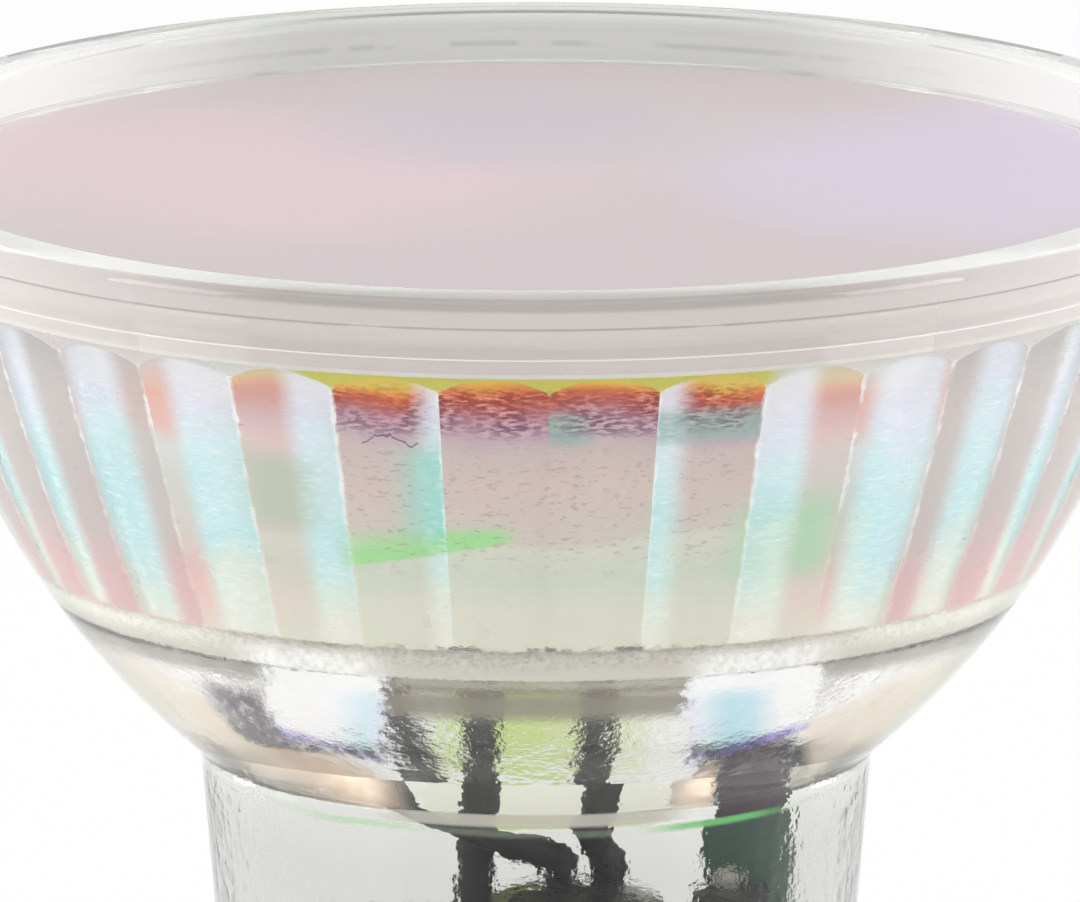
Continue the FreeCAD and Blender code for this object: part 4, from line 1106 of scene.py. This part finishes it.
def capacitor_sleeve():
    finish = Finish("capacitor_sleeve")
    across = finish.maths("SUBTRACT", finish.x, CAPACITOR_AXIS[0])
    depth = finish.maths("SUBTRACT", finish.y, CAPACITOR_AXIS[1])
    stripe = finish.between(finish.maths("ARCTAN2", depth, across), 0.1, 0.75, 0.01)
    grain = finish.grain(3.0)
    black = finish.mix(grain, seen(22, 22, 26), seen(34, 34, 38))
    finish.set(
        base_color=finish.mix(stripe, black, seen(176, 178, 180)),
        roughness=0.3,
        normal=finish.bump(grain, 0.01),
    )
    return finish.material


def bung_rubber():
    return plain_finish("bung_rubber", seen(22, 22, 22), seen(36, 35, 34), 0.7, 2.0, 0.02)


finish_nodes(can_aluminium(), "bulk_capacitor_can")
finish_nodes(capacitor_sleeve(), "bulk_capacitor_sleeve")
finish_nodes(bung_rubber(), "bulk_capacitor_bung")
finish_nodes(tinned, "bulk_capacitor_legs")


# Choke
# Enamelled copper wire wound in close turns on a dark grey ferrite bobbin. Two tinned legs
# hold it to the back of the driver board.

WIRE_RADIUS = 0.16
END_GAP = 1.4 * WIRE_RADIUS
POINTS_PER_TURN = 28


def choke_winding():
    """Close turns of wire, as one curve that climbs the bobbin."""
    low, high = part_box("choke_winding")
    middle = (low + high) / 2
    radius = (high.x - low.x) / 2 - WIRE_RADIUS * MM
    turns = int((high.z - low.z) / (2 * WIRE_RADIUS * MM)) - 1
    path = bpy.data.curves.new("choke_winding_wire", "CURVE")
    path.dimensions = "3D"
    path.bevel_depth = WIRE_RADIUS * MM
    path.bevel_resolution = 2
    path.use_fill_caps = True
    spline = path.splines.new("POLY")
    total = turns * POINTS_PER_TURN
    spline.points.add(total)
    for number in range(total + 1):
        turn = 2 * math.pi * number / POINTS_PER_TURN
        level = low.z + END_GAP * MM + (high.z - low.z - 2 * END_GAP * MM) * number / total
        point = (middle.x + radius * math.cos(turn), middle.y + radius * math.sin(turn), level)
        spline.points[number].co = (*point, 1)
    wire = bpy.data.objects.new("choke_winding_wire", path)
    bpy.context.scene.collection.objects.link(wire)
    return wire


def winding_copper():
    return bright_metal("winding_copper", seen(150, 72, 34), seen(196, 104, 52), 0.3, 0.004)


def ferrite():
    return plain_finish("ferrite", seen(40, 40, 43), seen(62, 61, 63), 0.55, 1.5, 0.03)


winding = choke_winding()
winding.data.materials.append(winding_copper())
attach(winding, "root")
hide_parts("choke_winding")
finish_nodes(ferrite(), "choke_core")
finish_nodes(tinned, "choke_legs")


# Small parts of the driver board
# The bridge rectifier, the chip and the diode are black mouldings with tinned feet. They, the
# dark glazed resistors and the tan ceramic capacitors are soldered flat to the board.

def moulding_black():
    return plain_finish("moulding_black", seen(26, 26, 27), seen(40, 40, 41), 0.5, 2.5, 0.012)


def resistor_black():
    return plain_finish("resistor_black", seen(28, 28, 31), seen(44, 44, 48), 0.3, 3.0, 0.006)


def ceramic_tan():
    return plain_finish("ceramic_tan", seen(168, 136, 98), seen(196, 166, 126), 0.45, 2.0, 0.01)


finish_nodes(moulding_black(), "bridge_rectifier", "driver_chip", "rectifier_diode")
finish_nodes(tinned, "bridge_rectifier_feet", "driver_chip_feet", "rectifier_diode_feet")
finish_nodes(resistor_black(), "chip_resistors")
finish_nodes(ceramic_tan(), "chip_capacitors")


# Film capacitor
# A wide block dipped in dark purple-brown resin, on two tinned legs behind the tab at the
# right of the driver board.

def film_brown():
    return plain_finish("film_brown", seen(36, 18, 34), seen(62, 34, 52), 0.32, 0.8, 0.04)


finish_nodes(film_brown(), "film_capacitor")
finish_nodes(tinned, "film_capacitor_legs")


# Potting in the base
# White compound, poured into the base round the foot of the driver board and the wires of
# the pins, and set hard there.

def potting_white():
    finish = Finish("potting_white")
    tone = finish.mix(finish.grain(0.7, 3.0), seen(222, 221, 214), seen(236, 235, 230))
    finish.set(base_color=tone, roughness=0.5, normal=finish.bump(finish.grain(1.2, 3.0), 0.05))
    return finish.material


finish_nodes(potting_white(), "base_potting")


# Light board
# A round aluminium board with a white printed mask, bonded to the shelf in the glass with
# clear silicone. It carries ten packages, white mouldings with a well of yellow phosphor.

LED_COUNT = 10
WELL_INNER = 9.2
WELL_OUTER = 11.8


def board_white():
    finish = Finish("board_white")
    tone = finish.mix(finish.grain(2.5, 3.0), seen(232, 234, 232), seen(240, 241, 238))
    finish.set(base_color=tone, roughness=0.4, normal=finish.bump(finish.grain(9.0), 0.004))
    return finish.material


def led_package():
    finish = Finish("led_package")
    well = finish.product(
        finish.rise(finish.z, 33.62, 33.59), finish.rise(finish.z, 33.55, 33.58),
        finish.between(finish.distance(finish.x, finish.y), WELL_INNER, WELL_OUTER, 0.05),
    )
    phosphor = finish.mix(finish.grain(5.0), seen(236, 214, 90), seen(242, 226, 120))
    tone = finish.mix(well, seen(240, 240, 236), phosphor)
    finish.set(base_color=tone, roughness=0.35, normal=finish.bump(finish.grain(8.0), 0.004))
    return finish.material


def silicone():
    finish = Finish("silicone")
    tone = finish.mix(finish.grain(1.2), seen(206, 204, 196), seen(226, 224, 218))
    finish.set(base_color=tone, roughness=0.35, normal=finish.bump(finish.grain(2.0), 0.02))
    return finish.material


bonded = silicone()
finish_nodes(bonded, "board_bond")
finish_nodes(board_white(), "led_board")
finish_nodes(led_package(), *[f"led_{number + 1:02d}" for number in range(LED_COUNT)])
finish_nodes(soldered, "led_board_solder")


# Leads
# Three leads in black sleeves run from the light board down to the driver board. Their bare
# ends are tinned and soldered to both boards.

def lead_sleeve():
    finish = Finish("lead_sleeve")
    tone = finish.mix(finish.grain(1.6, 3.0), seen(14, 14, 15), seen(36, 35, 35))
    finish.set(
        base_color=tone,
        roughness=0.6,
        specular_ior_level=0.25,
        normal=finish.bump(finish.grain(3.0, 3.0), 0.03),
    )
    return finish.material


finish_nodes(lead_sleeve(), "led_lead_1", "led_lead_2", "led_lead_3")
finish_nodes(tinned, "led_lead_ends")


# Front lens and its bond
# An opal disc of moulded plastic, satin outside. It is set in the pocket of the glass on a
# thin ring of clear silicone.

def soft_oval(finish, middle, width, depth):
    """A soft oval on the disc, 1 at its middle and 0 at its uneven border."""
    across = finish.maths("DIVIDE", finish.maths("SUBTRACT", finish.x, middle[0]), width)
    along = finish.maths("DIVIDE", finish.maths("SUBTRACT", finish.y, middle[1]), depth)
    squares = finish.maths("ADD", finish.product(across, across), finish.product(along, along))
    drift = finish.slope(finish.grain(0.09, 2.0), 0.3, 0.7, -0.18, 0.18)
    return finish.rise(finish.maths("ADD", squares, drift), 1.0, 0.0)


def opal():
    finish = Finish("opal")
    tone = finish.mix(soft_oval(finish, (0, -16), 30, 22), seen(202, 191, 191), seen(200, 187, 190))
    tone = finish.mix(soft_oval(finish, (-10, 4), 15, 15), tone, seen(216, 193, 199))
    tone = finish.mix(soft_oval(finish, (17, 4.5), 14, 15), tone, seen(207, 196, 213))
    tone = finish.mix(soft_oval(finish, (-1.5, 12), 9, 9), tone, seen(196, 188, 194))
    finish.set(
        base_color=tone,
        roughness=0.42,
        specular_ior_level=0.35,
        normal=finish.bump(finish.grain(3.0, 2.0), 0.004),
    )
    return finish.material


finish_nodes(bonded, "lens_bond")
finish_nodes(opal(), "front_lens")


# Floor, lamps and camera
# The lamp stands on its pins on a plain pale floor, lit by soft boxes above, in front and at
# both sides. The camera looks a little down on its face from far away.

# The floor's size and the places and sizes of the lamps are in metres, all else in millimetres.
FLOOR_SIZE = 3.0
FLOOR_DROP = 7.0
FLOOR_GLOW = 0.85
LAMP_AIM = (0, 0, 0.03)
CAMERA_DISTANCE = 700.0
CAMERA_DROP_DEGREES = 13.31
CAMERA_TARGET = (0.14, 0.0, 35.84)
CAMERA_LENS = 653.3
CAMERA_SENSOR = 36.0


def seen_directly(nodes):
    """1 where a ray comes from the camera, a mirror or clear glass, else 0."""
    result = 0.0
    for kind in ("Is Camera Ray", "Is Glossy Ray", "Is Transmission Ray"):
        result = nodes.maths("MAXIMUM", nodes.add("ShaderNodeLightPath", {}, kind), result)
    return result


def floor_paint():
    """Matt white to the lamps, and glowing where it is seen itself."""
    finish = Finish("studio_floor")
    finish.set(base_color=(0.96, 0.96, 0.96), roughness=0.9)
    glow = finish.add("ShaderNodeEmission", {"Strength": 1.0})
    share = finish.product(seen_directly(finish), FLOOR_GLOW)
    both = finish.add("ShaderNodeMixShader", {0: share, 1: finish.shader.outputs[0], 2: glow})
    finish.feed(both, finish.surface)
    return finish.material


def studio_floor():
    half = FLOOR_SIZE / 2
    corners = [(-half, -half, 0), (half, -half, 0), (half, half, 0), (-half, half, 0)]
    mesh = bpy.data.meshes.new("studio_floor")
    mesh.from_pydata(corners, [], [(0, 1, 2, 3)])
    mesh.materials.append(floor_paint())
    floor = bpy.data.objects.new("studio_floor", mesh)
    floor.location = (0, 0, -FLOOR_DROP * MM)
    bpy.context.scene.collection.objects.link(floor)


def studio_air():
    """White air, half as bright on matt surfaces as where it is seen itself."""
    world = bpy.data.worlds.new("studio")
    world.use_nodes = True
    bpy.context.scene.world = world
    nodes = NodeTree(world.node_tree)
    background = nodes.tree.nodes["Background"]
    nodes.feed((1, 1, 1), background.inputs["Color"])
    nodes.feed(nodes.slope(seen_directly(nodes), 0.0, 1.0, 0.5, 1.0), background.inputs["Strength"])


def soft_box(name, place, width, height, power):
    light = bpy.data.lights.new(name, "AREA")
    light.shape = "RECTANGLE"
    light.size = width
    light.size_y = height
    light.energy = power
    lamp = bpy.data.objects.new(name, light)
    lamp.location = place
    lamp.rotation_euler = (Vector(LAMP_AIM) - Vector(place)).to_track_quat("-Z", "Y").to_euler()
    bpy.context.scene.collection.objects.link(lamp)


def far_camera():
    lens = bpy.data.cameras.new("camera")
    lens.lens = CAMERA_LENS
    lens.sensor_width = CAMERA_SENSOR
    lens.clip_start = 0.01
    lens.clip_end = 20
    camera = bpy.data.objects.new("camera", lens)
    drop = math.radians(CAMERA_DROP_DEGREES)
    target = Vector(CAMERA_TARGET) * MM
    camera.location = target + Vector((0, -math.cos(drop), math.sin(drop))) * CAMERA_DISTANCE * MM
    camera.rotation_euler = (target - camera.location).to_track_quat("-Z", "Y").to_euler()
    bpy.context.scene.collection.objects.link(camera)
    bpy.context.scene.camera = camera


studio_floor()
studio_air()
soft_box("box_above", (0, -0.08, 0.55), 0.5, 0.5, 1.1)
soft_box("box_front", (0, -0.6, 0.3), 0.6, 0.4, 0.45)
soft_box("box_left", (-0.45, -0.25, 0.12), 0.2, 0.4, 0.8)
soft_box("box_right", (0.45, -0.25, 0.12), 0.2, 0.4, 0.8)
soft_box("box_back_left", (-0.4, 0.35, 0.15), 0.16, 0.4, 0.6)
soft_box("box_back_right", (0.4, 0.35, 0.15), 0.16, 0.4, 0.6)
far_camera()
bpy.context.scene.view_settings.view_transform = "Standard"
